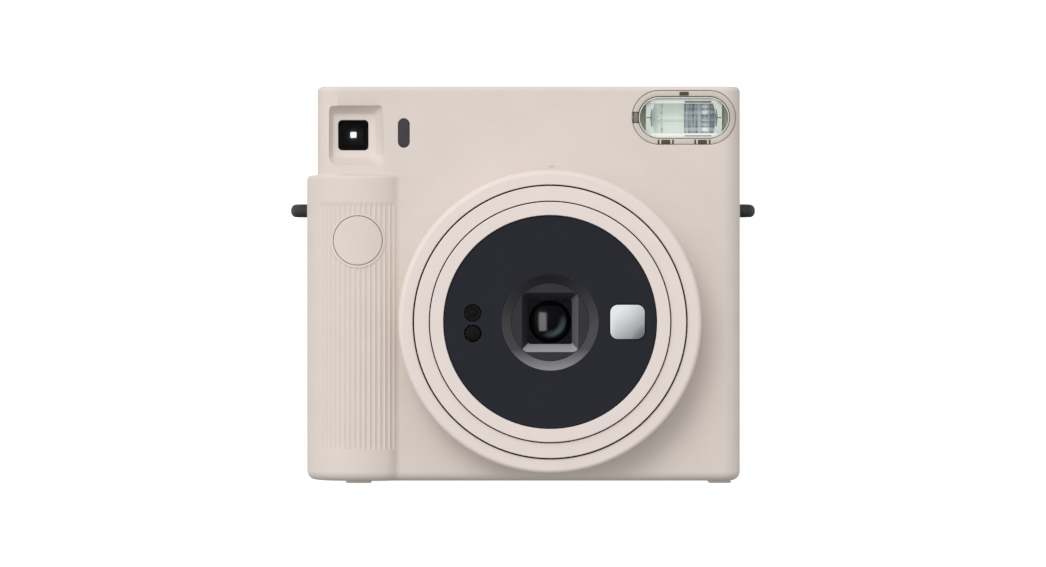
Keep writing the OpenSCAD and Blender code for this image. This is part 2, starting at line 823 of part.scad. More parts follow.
// ---- film door ----

module film_door() {
    color(cream) difference() {
        union() {
            slab(door_in_y, back_y) rounded_rect(door_x0, door_x1, door_z0, door_z1, door_corner);
            translate([door_axis_x, door_axis_y, door_z0 + 7.3])
                cylinder(h = door_z1 - door_z0 - 14.6, r = door_knuckle_r);
            block([door_x1 - 1, door_axis_y - 0.8, door_z0 + 7.3],
                [door_axis_x, back_y, door_z1 - 7.3]);
        }
        translate([door_axis_x, door_axis_y, 0]) cylinder(h = body_top, r = door_pin_r + running);
        slab(door_in_y - 1, back_y + 1) rounded_pad(window_x, window_z, window_w, window_h, 1.5);
        slab(door_in_y - 1, back_y + 1) rounded_pad(latch_x + 1.6, latch_z, 8, latch_l + 0.6, 1);
    }
}

module film_door_window() {
    color(clear) slab(door_in_y + 0.2, back_y - 0.2)
        rounded_pad(window_x, window_z, window_w - 0.1, window_h - 0.1, 1.4);
}

module film_door_pin() {
    color(steel) translate([door_axis_x, door_axis_y, door_z0 + 2.1])
        cylinder(h = door_z1 - door_z0 - 4.2, r = door_pin_r);
}

module door_latch() {
    color(grey) {
        difference() {
            slab(door_in_y + 0.4, back_y - 0.4) rounded_pad(latch_x + 0.7, latch_z, 4, latch_l, 0.8);
            for (z = [latch_z - 5:2.5:latch_z + 5])
                bar_x(back_y - 0.2, z, 0.7, latch_x - 2, latch_x + 4);
        }
        block([latch_x - 0.8, rear_wall_in - 1, latch_z - 5], [latch_x + 1, door_in_y + 0.6, latch_z + 5]);
    }
}

module latch_spring() {
    color(steel) translate([latch_x + 2.75, back_y - 1.4, latch_z]) rotate([0, 90, 0])
        coil_spring(0.7, 0.15, 2.8, 5);
}

module pressure_pads() {
    color(steel) for (z = [28, 82]) {
        block([pack_x - 25, pack_y0 + pack_t + 0.2, z - 5], [pack_x + 25, pack_y0 + pack_t + 0.6, z + 5]);
        for (s = [-1, 1]) block([pack_x + s * 20 - 3, pack_y0 + pack_t + 0.6, z - 5],
            [pack_x + s * 20 + 3, door_in_y, z + 5]);
    }
}

module door_seal() {
    color(black) slab(rear_wall_y, door_in_y - 0.05) difference() {
        rounded_rect(chamber_x0 - 1.6, chamber_x1 + 1.6, chamber_z0 - 1.3, chamber_z1 + 1.6, 3);
        rounded_rect(chamber_x0, chamber_x1, chamber_z0, chamber_z1, 3);
        translate([latch_x - 2, latch_z - 8]) square([6, 16]);
    }
}

// ---- battery bay ----

module battery_door() {
    color(cream) difference() {
        union() {
            block([-half_w, bay_axis_y, bay_z0 + 0.3], [-half_w + 1.8, bay_y1 - 0.3, bay_z1 - 0.3]);
            translate([bay_axis_x, bay_axis_y, bay_z0 + 0.3])
                cylinder(h = bay_z1 - bay_z0 - 0.6, r = bay_knuckle_r);
        }
        translate([bay_axis_x, bay_axis_y, 0]) cylinder(h = body_top, r = bay_pin_r + running);
        // Thumb groove near the free edge
        translate([-half_w - 1.2, bay_y1 - 4, bay_z1 - 20]) cylinder(h = 14, r = 2);
    }
}

module battery_door_pin() {
    color(steel) translate([bay_axis_x, bay_axis_y, bay_z0 - 1.4])
        cylinder(h = bay_z1 - bay_z0 + 2.8, r = bay_pin_r);
}

module battery_cells() {
    color("royalblue") for (z = [cell_z0, cell_z0 + cell_h + 0.3]) translate([cell_x, cell_y, z]) {
        cylinder(h = cell_h - 1, r = cell_r);
        cylinder(h = cell_h, r = 3);
    }
}

module battery_contacts() {
    color(steel) {
        block([cell_x - 5, cell_y - 5, bay_z0 + 0.9], [cell_x + 5, cell_y + 5, bay_z0 + 1.3]);
        block([cell_x - 5, cell_y - 5, bay_z1 - 1.4], [cell_x + 5, cell_y + 5, bay_z1 - 1]);
    }
}

module battery_holder() {
    x0 = -half_w + wall + 1;
    color(black) difference() {
        block([x0, parting_y + 0.4, bay_z0 + 0.3], [-45.4, 21.7, bay_z1 - 0.3]);
        translate([cell_x, cell_y, bay_z0 + 0.9])
            cylinder(h = bay_z1 - bay_z0 - 1.8, r = cell_r + 0.15);
        block([x0 - 1, cell_y - cell_r - 0.15, bay_z0 + 0.9],
            [cell_x, cell_y + cell_r + 0.15, bay_z1 - 0.9]);
        // Room for the door's knuckle to turn
        translate([bay_axis_x, bay_axis_y, 0]) cylinder(h = body_top, r = bay_knuckle_r + 0.5);
    }
}

// ---- film chamber ----

module main_frame() {
    top = plate_z0 - 0.5;
    plate_top = 99;
    bottom = pack_z0 - 2.2;
    side_back = rear_wall_in - 1.4;
    color(black) difference() {
        union() {
            block([frame_x0, frame_plate_y, bottom], [frame_x1, frame_plate_y + frame_plate_t, top]);
            block([frame_x0 + 2, frame_plate_y, top - 1], [frame_x1 - 2, frame_plate_y + frame_plate_t,
                plate_top]);
            block([frame_x0, frame_plate_y, bottom], [frame_x0 + frame_wall, side_back, top]);
            block([frame_x1 - frame_wall, frame_plate_y, bottom], [frame_x1, side_back, top]);
            block([frame_x0, frame_plate_y, bottom], [frame_x1, side_back, bottom + frame_wall]);
            slab(base_y0 + base_t, frame_plate_y + 1) rounded_pad(lens_x, lens_z, throat, throat, 3);
        }
        slab(base_y0, frame_plate_y) rounded_pad(lens_x, lens_z, throat - 4, throat - 4, 2);
        slab(0, pack_y0) rounded_pad(lens_x, lens_z, gate, gate, 1);
        // Slot for the finger of the eject claw
        block([frame_x0 - 1, 8.6, 24.6], [frame_x0 + frame_wall + 1, 11, 35.6]);
    }
}

module film_pack() {
    y1 = pack_y0 + pack_t;
    color(grey) difference() {
        block([pack_x - pack_w / 2, pack_y0, pack_z0], [pack_x + pack_w / 2, y1, pack_z0 + pack_h]);
        // Picture window, film slot at the top and the notch for the claw
        slab(pack_y0 - 1, pack_y0 + 1.2) rounded_pad(lens_x, lens_z, gate, gate, 0.5);
        block([pack_x - 36, pack_y0 + 1, pack_z0 + pack_h - 2], [pack_x + 36, pack_y0 + 1.8, 120]);
        block([pack_x - pack_w / 2 - 1, pack_y0 - 1, 24], [pack_x - pack_w / 2 + 3, pack_y0 + 3, 36]);
        slab(y1 - 1, y1 + 1) rounded_pad(window_x, window_z, 8, 28, 1);
    }
}

module eject_claw() {
    x0 = frame_x0 - 2.6;
    color(steel) {
        block([x0, 8.9, 22], [x0 + 2.2, 10.7, 60]);
        block([x0, 8.9, 25], [frame_x0 + frame_wall + 0.2, 10.7, 27.5]);
    }
}

module roller_frame() {
    y1 = 19.5;
    color(steel) difference() {
        union() {
            block([frame_x0, -1, plate_z0], [frame_x0 + frame_wall, y1, plate_z1]);
            block([frame_x1 - frame_wall, -1, plate_z0], [frame_x1, y1, plate_z1]);
            block([frame_x1 - frame_wall, -8.6, 91], [frame_x1, -0.5, 101]);
            block([frame_x0, -1, plate_z1 - frame_wall], [frame_x1, 7, plate_z1]);
            block([frame_x0, 12.6, plate_z1 - frame_wall], [frame_x1, y1, plate_z1]);
            bar_x(idler_y, idler_z, journal_r, frame_x1 - 0.5, gear_x0 + gear_t + 0.4);
        }
        for (i = [0, 1])
            bar_x(roller_y + i * roller_gap, roller_z, journal_r + running, frame_x0 - 1, frame_x1 + 1);
        bar_x(pinion_y, pinion_z, motor_shaft_r + 0.6, frame_x1 - 4, frame_x1 + 1);
    }
}

// Steel roller with a thinner journal at each end
module roller(y) {
    color(steel) {
        bar_x(y, roller_z, roller_r, roller_x0, roller_x1);
        bar_x(y, roller_z, journal_r, frame_x0 - 0.3, gear_x0 + gear_t + 0.3);
    }
}

module roller_front() {
    roller(roller_y);
}

module roller_rear() {
    roller(roller_y + roller_gap);
}

module roller_front_gear() {
    color("ivory") gear(roller_y, roller_z, roller_teeth, 0, journal_r + 0.01);
}

module roller_rear_gear() {
    color("ivory") gear(roller_y + roller_gap, roller_z, roller_teeth,
        mesh_phase(0, 0, roller_teeth, roller_teeth), journal_r + 0.01);
}

module idler_gear() {
    color("ivory") gear(idler_y, idler_z, idler_teeth, idler_phase, journal_r + running);
}

module motor_pinion() {
    color("gold") {
        gear(pinion_y, pinion_z, pinion_teeth,
            mesh_phase(pinion_angle, idler_phase, idler_teeth, pinion_teeth), motor_shaft_r - 0.05);
        bar_x(pinion_y, pinion_z, motor_shaft_r, motor_x1 - 6, gear_x0 + gear_t);
    }
}

module drive_motor() {
    color(steel) difference() {
        bar_x(pinion_y, pinion_z, motor_r, motor_x0, motor_x1);
        bar_x(pinion_y, pinion_z, motor_shaft_r + running, motor_x1 - 7, motor_x1 + 1);
        for (s = [-1, 1]) translate([motor_x0 - 1, pinion_y + s * (motor_r - 0.6) - 0.5, pinion_z - 5])
            cube([4, 1, 10]);
    }
}

// ---- small things at the back ----

module counter_dial() {
    color("white") difference() {
        bar_y(counter_x, counter_z, counter_r, rear_wall_in - 1.5, rear_wall_in - 0.2);
        bar_y(counter_x, counter_z, 1.2 + running, rear_wall_in - 2, rear_wall_y);
        for (a = [0:30:300]) translate([counter_x, rear_wall_in - 0.2, counter_z]) rotate([0, a, 0])
            translate([0, 0, counter_r - 2]) cube([0.5, 0.3, 2.4], center = true);
    }
}

// Clear pane over the film counter and the lamp that shows when the flash is ready
module rear_lights() {
    color(clear) bar_y(counter_x, counter_window_z, counter_window_r, rear_wall_in + 0.3, rear_wall_y - 0.1);
    color("orange") bar_y(lamp_x, lamp_z, lamp_r, rear_wall_in - 2, rear_wall_y + 0.2);
}

// ---- every node by name ----

front_cover();
rear_cover();
lens_collar();
lens_ring();
lens_base();
lens_barrel();
lens_face();
lens_hood();
lens_cell();
front_lens();
rear_lens();
shutter_base();
shutter_cover();
shutter_blade_a();
shutter_blade_b();
light_sensor_lens();
flash_sensor_window();
selfie_mirror();
viewfinder_window();
viewfinder_tube();
viewfinder_eyepiece();
eyepiece_frame();
light_window();
flash_window();
flash_reflector();
flash_tube();
flash_frame();
flash_capacitor();
shutter_button();
button_spring();
button_switch();
film_door();
film_door_window();
film_door_pin();
door_latch();
latch_spring();
pressure_pads();
door_seal();
battery_door();
battery_door_pin();
battery_cells();
battery_contacts();
battery_holder();
strap_lugs();
feet();
main_frame();
film_pack();
roller_frame();
roller_front();
roller_rear();
roller_front_gear();
roller_rear_gear();
idler_gear();
motor_pinion();
drive_motor();
eject_claw();
circuit_board();
counter_dial();
rear_lights();
case_screws();
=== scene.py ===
"""Looks for the square-format instant camera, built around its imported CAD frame.

Lengths inside the shape functions are millimetres in the frame's own axes: +X right, the lens faces -Y, +Z up.
Places are taken from the frame's boxes where they can be; scratch() turns millimetres into metres.
"""

import json
import math

import bmesh
import bpy
import numpy as np
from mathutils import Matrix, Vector


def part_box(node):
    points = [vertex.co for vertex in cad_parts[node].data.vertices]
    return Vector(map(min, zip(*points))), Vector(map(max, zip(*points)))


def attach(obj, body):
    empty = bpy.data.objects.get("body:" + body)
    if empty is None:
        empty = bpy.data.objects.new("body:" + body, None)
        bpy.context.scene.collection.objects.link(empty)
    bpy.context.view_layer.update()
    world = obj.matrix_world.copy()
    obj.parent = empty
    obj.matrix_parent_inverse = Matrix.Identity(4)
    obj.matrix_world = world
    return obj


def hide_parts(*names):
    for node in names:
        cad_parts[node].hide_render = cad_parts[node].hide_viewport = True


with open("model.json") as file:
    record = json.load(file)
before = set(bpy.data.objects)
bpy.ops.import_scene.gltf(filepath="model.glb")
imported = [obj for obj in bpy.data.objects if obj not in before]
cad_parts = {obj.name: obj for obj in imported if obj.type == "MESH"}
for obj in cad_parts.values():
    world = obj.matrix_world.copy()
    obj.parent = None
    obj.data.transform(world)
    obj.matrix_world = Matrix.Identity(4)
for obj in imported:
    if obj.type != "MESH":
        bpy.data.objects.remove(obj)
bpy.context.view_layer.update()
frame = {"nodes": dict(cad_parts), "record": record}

MM = 0.001
BODY_OF = {node: body for body, nodes in frame["record"]["behaviour"]["bodies"].items() for node in nodes}
SLOT_OF = {s["node"]: s["material_slot"] for s in frame["record"]["subparts"]}


# ---------------------------------------------------------------- places, all in millimetres

def box(node):
    """Lowest and highest corner of a CAD node, in millimetres."""
    low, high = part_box(node)
    return np.array(low) / MM, np.array(high) / MM


def middle(node):
    low, high = box(node)
    return (low + high) / 2


FRONT_LOW, FRONT_HIGH = box("front_cover")
COLLAR_LOW, COLLAR_HIGH = box("lens_collar")
BARREL_LOW, BARREL_HIGH = box("lens_barrel")
RING_LOW, RING_HIGH = box("lens_ring")

HALF_W = FRONT_HIGH[0]
BOTTOM = FRONT_LOW[2]
TOP = FRONT_HIGH[2]
FACE_Y = box("light_window")[0][1] - 0.15
PARTING_Y = box("rear_cover")[0][1]
BACK_Y = box("door_seal")[0][1]
CORNER_R = 5.5
UPPER_R = 7.2
TOP_R = 1.5
BOTTOM_R = 2.8
WALL = 2.0

GRIP_R = 17.9
GRIP_X = -HALF_W + GRIP_R
GRIP_Y = FRONT_LOW[1] + GRIP_R
GRIP_TOP = 92.8
SHOULDER_X = -HALF_W + 3.35
STEP_R = 1.3
VALLEY_R = 2.0
TIGHT_R = 8.0
FLUTE_PITCH = math.radians(5.03)
FLUTE_R = 1.1
FLUTE_FIRST, FLUTE_LAST = -10, 5
FLUTE_Z0, FLUTE_Z1 = 10.3, 84.8
FLUTE_RUNOUT = 1.6

LENS_X, LENS_Z = (COLLAR_LOW[0] + COLLAR_HIGH[0]) / 2, middle("lens_base")[2]
COLLAR_R = (COLLAR_HIGH[0] - COLLAR_LOW[0]) / 2
COLLAR_IN_R = 41.0
RING_R, RING_IN_R = 40.59, 36.16
BARREL_R, BARREL_IN_R = 35.84, 31.9
CONE_R = 14.5
GLASS_R = 6.3
BUTTON_X, BUTTON_Z = middle("shutter_button")[[0, 2]]
BUTTON_BACK = box("shutter_button")[1][1]
BUTTON_R = 7.35
BUTTON_RING_R = 8.2
FINDER = middle("viewfinder_window")
PILL = middle("light_window")
# Corners of the viewfinder's recess at its mouth: x, z and corner radius
FINDER_MOUTH = ((-58.4, 95.9, 2.4), (-41.6, 95.9, 2.4), (-42.5, 113.4, 1.0), (-58.4, 113.4, 1.3))
FLASH = middle("flash_window")
FLASH_W, FLASH_H = 31.2, 16.2


# ---------------------------------------------------------------- mesh building

def show(thing):
    """Puts an object into the scene."""
    bpy.context.scene.collection.objects.link(thing)
    return thing


def scratch(name, verts, faces, smooth=40):
    """Closed mesh from millimetre points, for a carve or to be settled as a piece."""
    mesh = bpy.data.meshes.new(name)
    mesh.from_pydata([tuple(float(c) * MM for c in v) for v in verts], [], [tuple(f) for f in faces])
    piece = show(bpy.data.objects.new(name, mesh))
    tidy(piece, smooth)
    return piece


def settle(piece, node, look, replaces=()):
    """Gives a piece its material and the body of its CAD node, and hides the nodes it replaces."""
    piece.data.materials.clear()
    piece.data.materials.append(LOOKS[look] if isinstance(look, str) else look)
    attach(piece, BODY_OF[node])
    if replaces:
        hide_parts(*replaces)
    return piece


def make(name, shape, node, look, replaces=(), smooth=40):
    """Settled piece from a (verts, faces) shape."""
    return settle(scratch(name, *shape, smooth), node, look, replaces)


def replace(name, shape, node, look, smooth=40):
    """Settled piece that takes the place of its CAD node."""
    return make(name, shape, node, look, (node,), smooth)


def tidy(piece, smooth=40, merge=1e-6):
    """Merges doubled points, turns faces outward and shades smooth across edges flatter than the angle."""
    bm = bmesh.new()
    bm.from_mesh(piece.data)
    bmesh.ops.remove_doubles(bm, verts=bm.verts, dist=merge)
    bmesh.ops.recalc_face_normals(bm, faces=bm.faces)
    limit = math.radians(smooth)
    for face in bm.faces:
        face.smooth = True
    for edge in bm.edges:
        edge.smooth = len(edge.link_faces) == 2 and edge.calc_face_angle(0) < limit
    bm.to_mesh(piece.data)
    bm.free()


def weighted(piece):
    """Lets large faces rule the shading next to small fillets."""
    modifier = piece.modifiers.new("even_shading", "WEIGHTED_NORMAL")
    modifier.keep_sharp = True
    modifier.weight = 100
    return piece


def carve(piece, cutters, operation="DIFFERENCE", smooth=40):
    """Cuts other meshes out of a piece for good, or joins them to it, and drops them."""
    for cutter in cutters:
        modifier = piece.modifiers.new("carve", "BOOLEAN")
        modifier.operation = operation
        modifier.solver = "MANIFOLD"
        modifier.object = cutter
        bpy.context.view_layer.update()
        graph = bpy.context.evaluated_depsgraph_get()
        result = bpy.data.meshes.new_from_object(piece.evaluated_get(graph))
        piece.modifiers.remove(modifier)
        old = piece.data
        piece.data = result
        bpy.data.meshes.remove(old)
        bpy.data.objects.remove(cutter)
    tidy(piece, smooth, 1e-8)
    return piece


def loft(rings, closed_path=False):
    """Closed rings of equal length joined into a skin, with flat ends unless the path itself closes."""
    count = len(rings[0])
    verts = [tuple(p) for ring in rings for p in ring]
    faces = []
    spans = len(rings) if closed_path else len(rings) - 1
    for i in range(spans):
        a, b = i * count, (i + 1) % len(rings) * count
        for k in range(count):
            n = (k + 1) % count
            faces.append((a + k, a + n, b + n, b + k))
    if not closed_path:
        faces.append(tuple(range(count - 1, -1, -1)))
        faces.append(tuple(range((len(rings) - 1) * count, len(rings) * count)))
    return verts, faces


def fillet(points, steps=5):
    """Closed 2D outline from (x, y, radius) corners, each corner turned into an arc of that radius."""
    out = []
    count = len(points)
    for i in range(count):
        p, radius = np.array(points[i][:2], float), points[i][2]
        before = np.array(points[i - 1][:2], float) - p
        after = np.array(points[(i + 1) % count][:2], float) - p
        before /= np.linalg.norm(before)
        after /= np.linalg.norm(after)
        angle = math.acos(max(-1, min(1, float(before @ after))))
        reach = radius / math.tan(angle / 2)
        start, end = p + before * reach, p + after * reach
        centre = p + (before + after) / np.linalg.norm(before + after) * radius / math.sin(angle / 2)
        a0 = math.atan2(*(start - centre)[::-1])
        a1 = math.atan2(*(end - centre)[::-1])
        turn = (a1 - a0 + math.pi) % (2 * math.pi) - math.pi
        for k in range(steps + 1):
            a = a0 + turn * k / steps
            out.append((centre[0] + radius * math.cos(a), centre[1] + radius * math.sin(a)))
    return out


def circle(around):
    """Cosine and sine of equal steps round a circle."""
    turns = [2 * math.pi * k / around for k in range(around)]
    return [(math.cos(a), math.sin(a)) for a in turns]


def quarter(steps):
    """Steps of a quarter turn as (1 - sine, 1 - cosine): the first falls from 1 to 0, the second rises to 1."""
    turns = [math.pi / 2 * k / steps for k in range(steps + 1)]
    return [(1 - math.sin(a), 1 - math.cos(a)) for a in turns]


def lathe(profile, around=256):
    """Closed (radius, y) outline turned about the lens's line."""
    rings = [[(LENS_X + r * c, y, LENS_Z + r * s) for r, y in profile] for c, s in circle(around)]
    return loft(rings, closed_path=True)


def solid_lathe(profile, x=LENS_X, z=LENS_Z, around=96):
    """Outline from the axis out and back to the axis, turned about a line along Y."""
    verts = [(x, profile[0][1], z)]
    inner = profile[1:-1]
    for c, s in circle(around):
        verts.extend((x + r * c, y, z + r * s) for r, y in inner)
    verts.append((x, profile[-1][1], z))
    n, last = len(inner), len(verts) - 1
    faces = []
    for k in range(around):
        a, b = 1 + k * n, 1 + (k + 1) % around * n
        faces.append((0, b, a))
        faces.append((last, a + n - 1, b + n - 1))
        faces.extend((a + i, b + i, b + i + 1, a + i + 1) for i in range(n - 1))
    return verts, faces


def behind(y, *points):
    """Profile of (radius, y) points whose depths are counted from y."""
    return [(r, y + depth) for r, depth in points]


def rounded_rect(x, z, w, h, r, steps=8):
    """Closed outline of a rectangle with round corners, as (x, z) pairs running anticlockwise."""
    r = min(r, w / 2 - 1e-4, h / 2 - 1e-4)
    out = []
    for sx, sz, start in ((1, 1, 0), (-1, 1, 90), (-1, -1, 180), (1, -1, 270)):
        cx, cz = x + sx * (w / 2 - r), z + sz * (h / 2 - r)
        for k in range(steps + 1):
            a = math.radians(start + 90 * k / steps)
            out.append((cx + r * math.cos(a), cz + r * math.sin(a)))
    return out


def at_depth(outline, y):
    """An (x, z) outline placed at y."""
    return [(x, y, z) for x, z in outline]


def prism(outline, *depths):
    """Outline carried along Y through the given depths."""
    return loft([at_depth(outline, y) for y in depths])


def pad_rings(x, z, w, h, r, stations, steps=8):
    """Rounded rectangles at (y, inset) stations, each drawn in or out by its inset."""
    return [at_depth(rounded_rect(x, z, w - 2 * inset, h - 2 * inset, max(r - inset, 0.02), steps), y)
            for y, inset in stations]


def edge_stations(y0, y1, front_r, back_r, steps=5):
    """(y, inset) stations of a plate from y0 to y1 with round front and back edges."""
    front = [(y0 + front_r * s, front_r * c) for s, c in quarter(steps)]
    return front[::-1] + [(y1 - back_r * s, back_r * c) for s, c in quarter(steps)]


def plate(x, z, w, h, r, y0, y1, front_r=0.3, back_r=0.3, steps=8):
    """Rounded rectangle plate with round front and back edges."""
    return loft(pad_rings(x, z, w, h, r, edge_stations(y0, y1, front_r, back_r), steps))


def flared_hole(x, z, w, h, r, y_face, y_end, flare=0.4, steps=8):
    """Cutter for a rounded rectangular hole whose mouth on the front face has a round edge."""
    lip = [(y_face + flare * c, -flare * s) for s, c in quarter(5)]
    stations = [(y_face - 1.0, -flare)] + lip + [(y_end, 0)]
    return loft(pad_rings(x, z, w, h, r, stations, steps))


def rod_y(x, z, r, y0, y1, around=48, edge=0.0):
    """Round bar along Y, its ends eased by the given edge radius."""
    e = max(edge, 1e-3)
    return solid_lathe([(0, y0), (r - e, y0), (r - 0.3 * e, y0 + 0.3 * e), (r, y0 + e), (r, y1 - e),
                        (r - 0.3 * e, y1 - 0.3 * e), (r - e, y1), (0, y1)], x, z, around)


def rod_z(x, y, r, z0, z1, around=48, edge=0.0):
    """Round bar along Z."""
    verts, faces = rod_y(x, y, r, z0, z1, around, edge)
    return [(vx, vz, vy) for vx, vy, vz in verts], [f[::-1] for f in faces]


def rod_x(y, z, r, x0, x1, around=32, edge=0.0):
    """Round bar along X."""
    verts, faces = rod_y(y, z, r, x0, x1, around, edge)
    return [(vy, vx, vz) for vx, vy, vz in verts], [f[::-1] for f in faces]


def brick(low, high):
    """Plain box, for hidden cuts only."""
    (x0, y0, z0), (x1, y1, z1) = low, high
    ring = [(x0, y0), (x1, y0), (x1, y1), (x0, y1)]
    return loft([[(x, y, z) for x, y in ring] for z in (z0, z1)])


def soft_brick(low, high, r=0.3):
    """Box whose twelve edges are round."""
    mesh = bmesh.new()
    bmesh.ops.create_cube(mesh, size=1)
    low, high = np.array(low, float), np.array(high, float)
    for v in mesh.verts:
        v.co = Vector((low + high) / 2 + np.array(v.co) * (high - low))
    bmesh.ops.bevel(mesh, geom=list(mesh.edges), offset=r, segments=3, profile=0.5, affect="EDGES")
    verts = [tuple(v.co) for v in mesh.verts]
    faces = [tuple(v.index for v in f.verts) for f in mesh.faces]
    mesh.free()
    return verts, faces


# ---------------------------------------------------------------- materials

def linear(rgb):
    """0-255 colour to linear light."""
    out = []
    for c in rgb:
        c /= 255
        out.append(c / 12.92 if c <= 0.04045 else ((c + 0.055) / 1.055) ** 2.4)
    return (*out, 1.0)


class Nodes:
    """Short hand for laying out the nodes of one material, or of the world."""

    def __init__(self, owner, shader="Principled BSDF", place="Object"):
        if isinstance(owner, str):
            owner = bpy.data.materials.new(owner)
        owner.use_nodes = True
        self.material, self.tree = owner, owner.node_tree
        self.shader = self.tree.nodes[shader]
        self.place = self.add("ShaderNodeTexCoord").outputs[place]

    def add(self, kind, **values):
        node = self.tree.nodes.new(kind)
        for key, value in values.items():
            if key in node.inputs:
                node.inputs[key].default_value = value
            else:
                setattr(node, key, value)
        return node

    def feed(self, target, value):
        """Links a value to a socket, or sets it there if it is a constant; a name means the shader's socket."""
        if isinstance(target, str):
            target = self.shader.inputs[target]
        if isinstance(value, bpy.types.NodeSocket):
            self.tree.links.new(value, target)
        else:
            target.default_value = value

    def axes(self):
        """X, Y and Z of the point being shaded."""
        split = self.add("ShaderNodeSeparateXYZ")
        self.feed(split.inputs["Vector"], self.place)
        return split.outputs

    def noise(self, size_mm, detail=3.0, stretch=None):
        """Noise whose features are about size_mm across, drawn out along the axes by stretch."""
        node = self.add("ShaderNodeTexNoise", Scale=1000 / size_mm, Detail=detail, Roughness=0.55)
        source = self.place
        if stretch:
            mapping = self.add("ShaderNodeMapping", Scale=stretch)
            self.feed(mapping.inputs["Vector"], source)
            source = mapping.outputs["Vector"]
        self.feed(node.inputs["Vector"], source)
        return node.outputs["Fac"]

    def spread(self, value, low, high, start=0.3, end=0.7):
        """Maps start..end to low..high."""
        node = self.add("ShaderNodeMapRange",
                        **{"From Min": start, "From Max": end, "To Min": low, "To Max": high})
        self.feed(node.inputs["Value"], value)
        return node.outputs["Result"]

    def mix(self, factor, first, second):
        """First colour where the factor is 0, second where it is 1."""
        node = self.add("ShaderNodeMix", data_type="RGBA")
        for index, value in ((0, factor), (6, first), (7, second)):
            self.feed(node.inputs[index], value)
        return node.outputs[2]

    def maths(self, operation, first, second=0):
        node = self.add("ShaderNodeMath", operation=operation)
        self.feed(node.inputs[0], first)
        self.feed(node.inputs[1], second)
        return node.outputs[0]

    def product(self, first, *more):
        for value in more:
            first = self.maths("MULTIPLY", first, value)
        return first

    def relief(self, height, distance_mm):
        """Bump on the whole shader."""
        node = self.add("ShaderNodeBump", Strength=1.0, Distance=distance_mm * MM)
        self.feed(node.inputs["Height"], height)
        self.feed("Normal", node.outputs["Normal"])

    def gloss(self, fine, low, high, bumps, depth_mm):
        """Roughness that drifts with a noise, and a fine relief."""
        self.feed("Roughness", self.spread(fine, low, high))
        self.relief(bumps, depth_mm)

    def around(self, x, z):
        """X and Z measured from a point given in millimetres, their distance from it, and Y; all in metres."""
        split = self.axes()
        dx = self.maths("SUBTRACT", split["X"], x * MM)
        dz = self.maths("SUBTRACT", split["Z"], z * MM)
        away = self.maths("SQRT", self.maths("ADD", self.product(dx, dx), self.product(dz, dz)))
        return dx, dz, away, split["Y"]


def paint_gap_shade(n, colour, r0, r1, y0):
    """Painted shade: darkens a lens ring's walls between two radii behind y0, where shade falls in the gaps between the
    rings.
    """
    away, y = n.around(LENS_X, LENS_Z)[2:]
    gap = n.product(n.maths("GREATER_THAN", away, r0 * MM), n.maths("LESS_THAN", away, r1 * MM),
                    n.maths("GREATER_THAN", y, y0 * MM))
    return n.mix(gap, colour, linear((14, 10, 9)))


def paint_recess_light(n, colour):
    """Painted light: the viewfinder recess is made a little paler than the skin around it, to lift the shade that falls
    in it.
    """
    low, high = FINDER_MOUTH[0], FINDER_MOUTH[2]
    dx, dz, _, y = n.around((low[0] + high[0]) / 2, (low[1] + high[1]) / 2)
    across = n.spread(n.maths("ABSOLUTE", dx), 1, 0, 8.2 * MM, 9.0 * MM)
    up = n.spread(n.maths("ABSOLUTE", dz), 1, 0, 8.7 * MM, 9.6 * MM)
    deep = n.spread(y, 0, 1, (FACE_Y + 0.1) * MM, (FACE_Y + 2.0) * MM)
    return n.mix(n.product(across, up, deep), colour, linear((222, 212, 205)))


def paint_cone_light(n, colour):
    """Painted light and shade on the cone round the lens: dark above, paler below."""
    dz = n.around(LENS_X, LENS_Z)[1]
    colour = n.mix(n.spread(dz, 1, 0, -2 * MM, 13 * MM), linear((30, 30, 34)), colour)
    return n.mix(n.spread(dz, 1, 0, -14.5 * MM, -8 * MM), colour, linear((136, 134, 141)))


def paint_hood_light(n, colour):
    """Painted light on the square hood: its lower wall is painted pale, its right wall a little so."""
    dx, dz, _, y = n.around(LENS_X, LENS_Z)
    inner = n.maths("GREATER_THAN", y, (HOOD_Y + 0.05) * MM)
    down = n.maths("SUBTRACT", n.product(dz, -1), n.maths("ABSOLUTE", dx))
    right = n.maths("SUBTRACT", dx, n.maths("ABSOLUTE", dz))
    for way, margin, tone in ((right, 0.0004, (96, 94, 99)), (down, 0.0002, (160, 159, 164))):
        colour = n.mix(n.product(inner, n.maths("GREATER_THAN", way, -margin)), colour, linear(tone))
    return colour


def paint_mirror_reflection(n, colour):
    """Painted reflection on the silvering: it falls off from bright to grey towards the lower right."""
    dx, dz = n.around(*MIRROR)[:2]
    slope = n.maths("ADD", n.maths("SUBTRACT", dx, dz), n.product(n.noise(5.0, 1.0), 0.004))
    tone = n.mix(n.spread(slope, 0, 1, -0.003, 0.009), linear((232, 235, 237)), linear((158, 163, 165)))
    return n.mix(n.spread(slope, 0, 0.6, 0.008, 0.011), tone, linear((84, 90, 92)))


def paint_glass_reflection(n, colour):
    """Front lens: near black, with a painted reflection as a faint green arc low on the right."""
    dx, dz, away, _ = n.around(LENS_X - 0.2, LENS_Z + 0.3)
    side = n.spread(n.maths("SUBTRACT", dx, dz), 0, 1, 0.0018, 0.006)
    band = n.product(n.spread(away, 0, 1, 0.0026, 0.0036), n.spread(away, 1, 0, 0.0042, 0.0052), side, 0.3)
    return n.mix(band, colour, linear((76, 92, 91)))


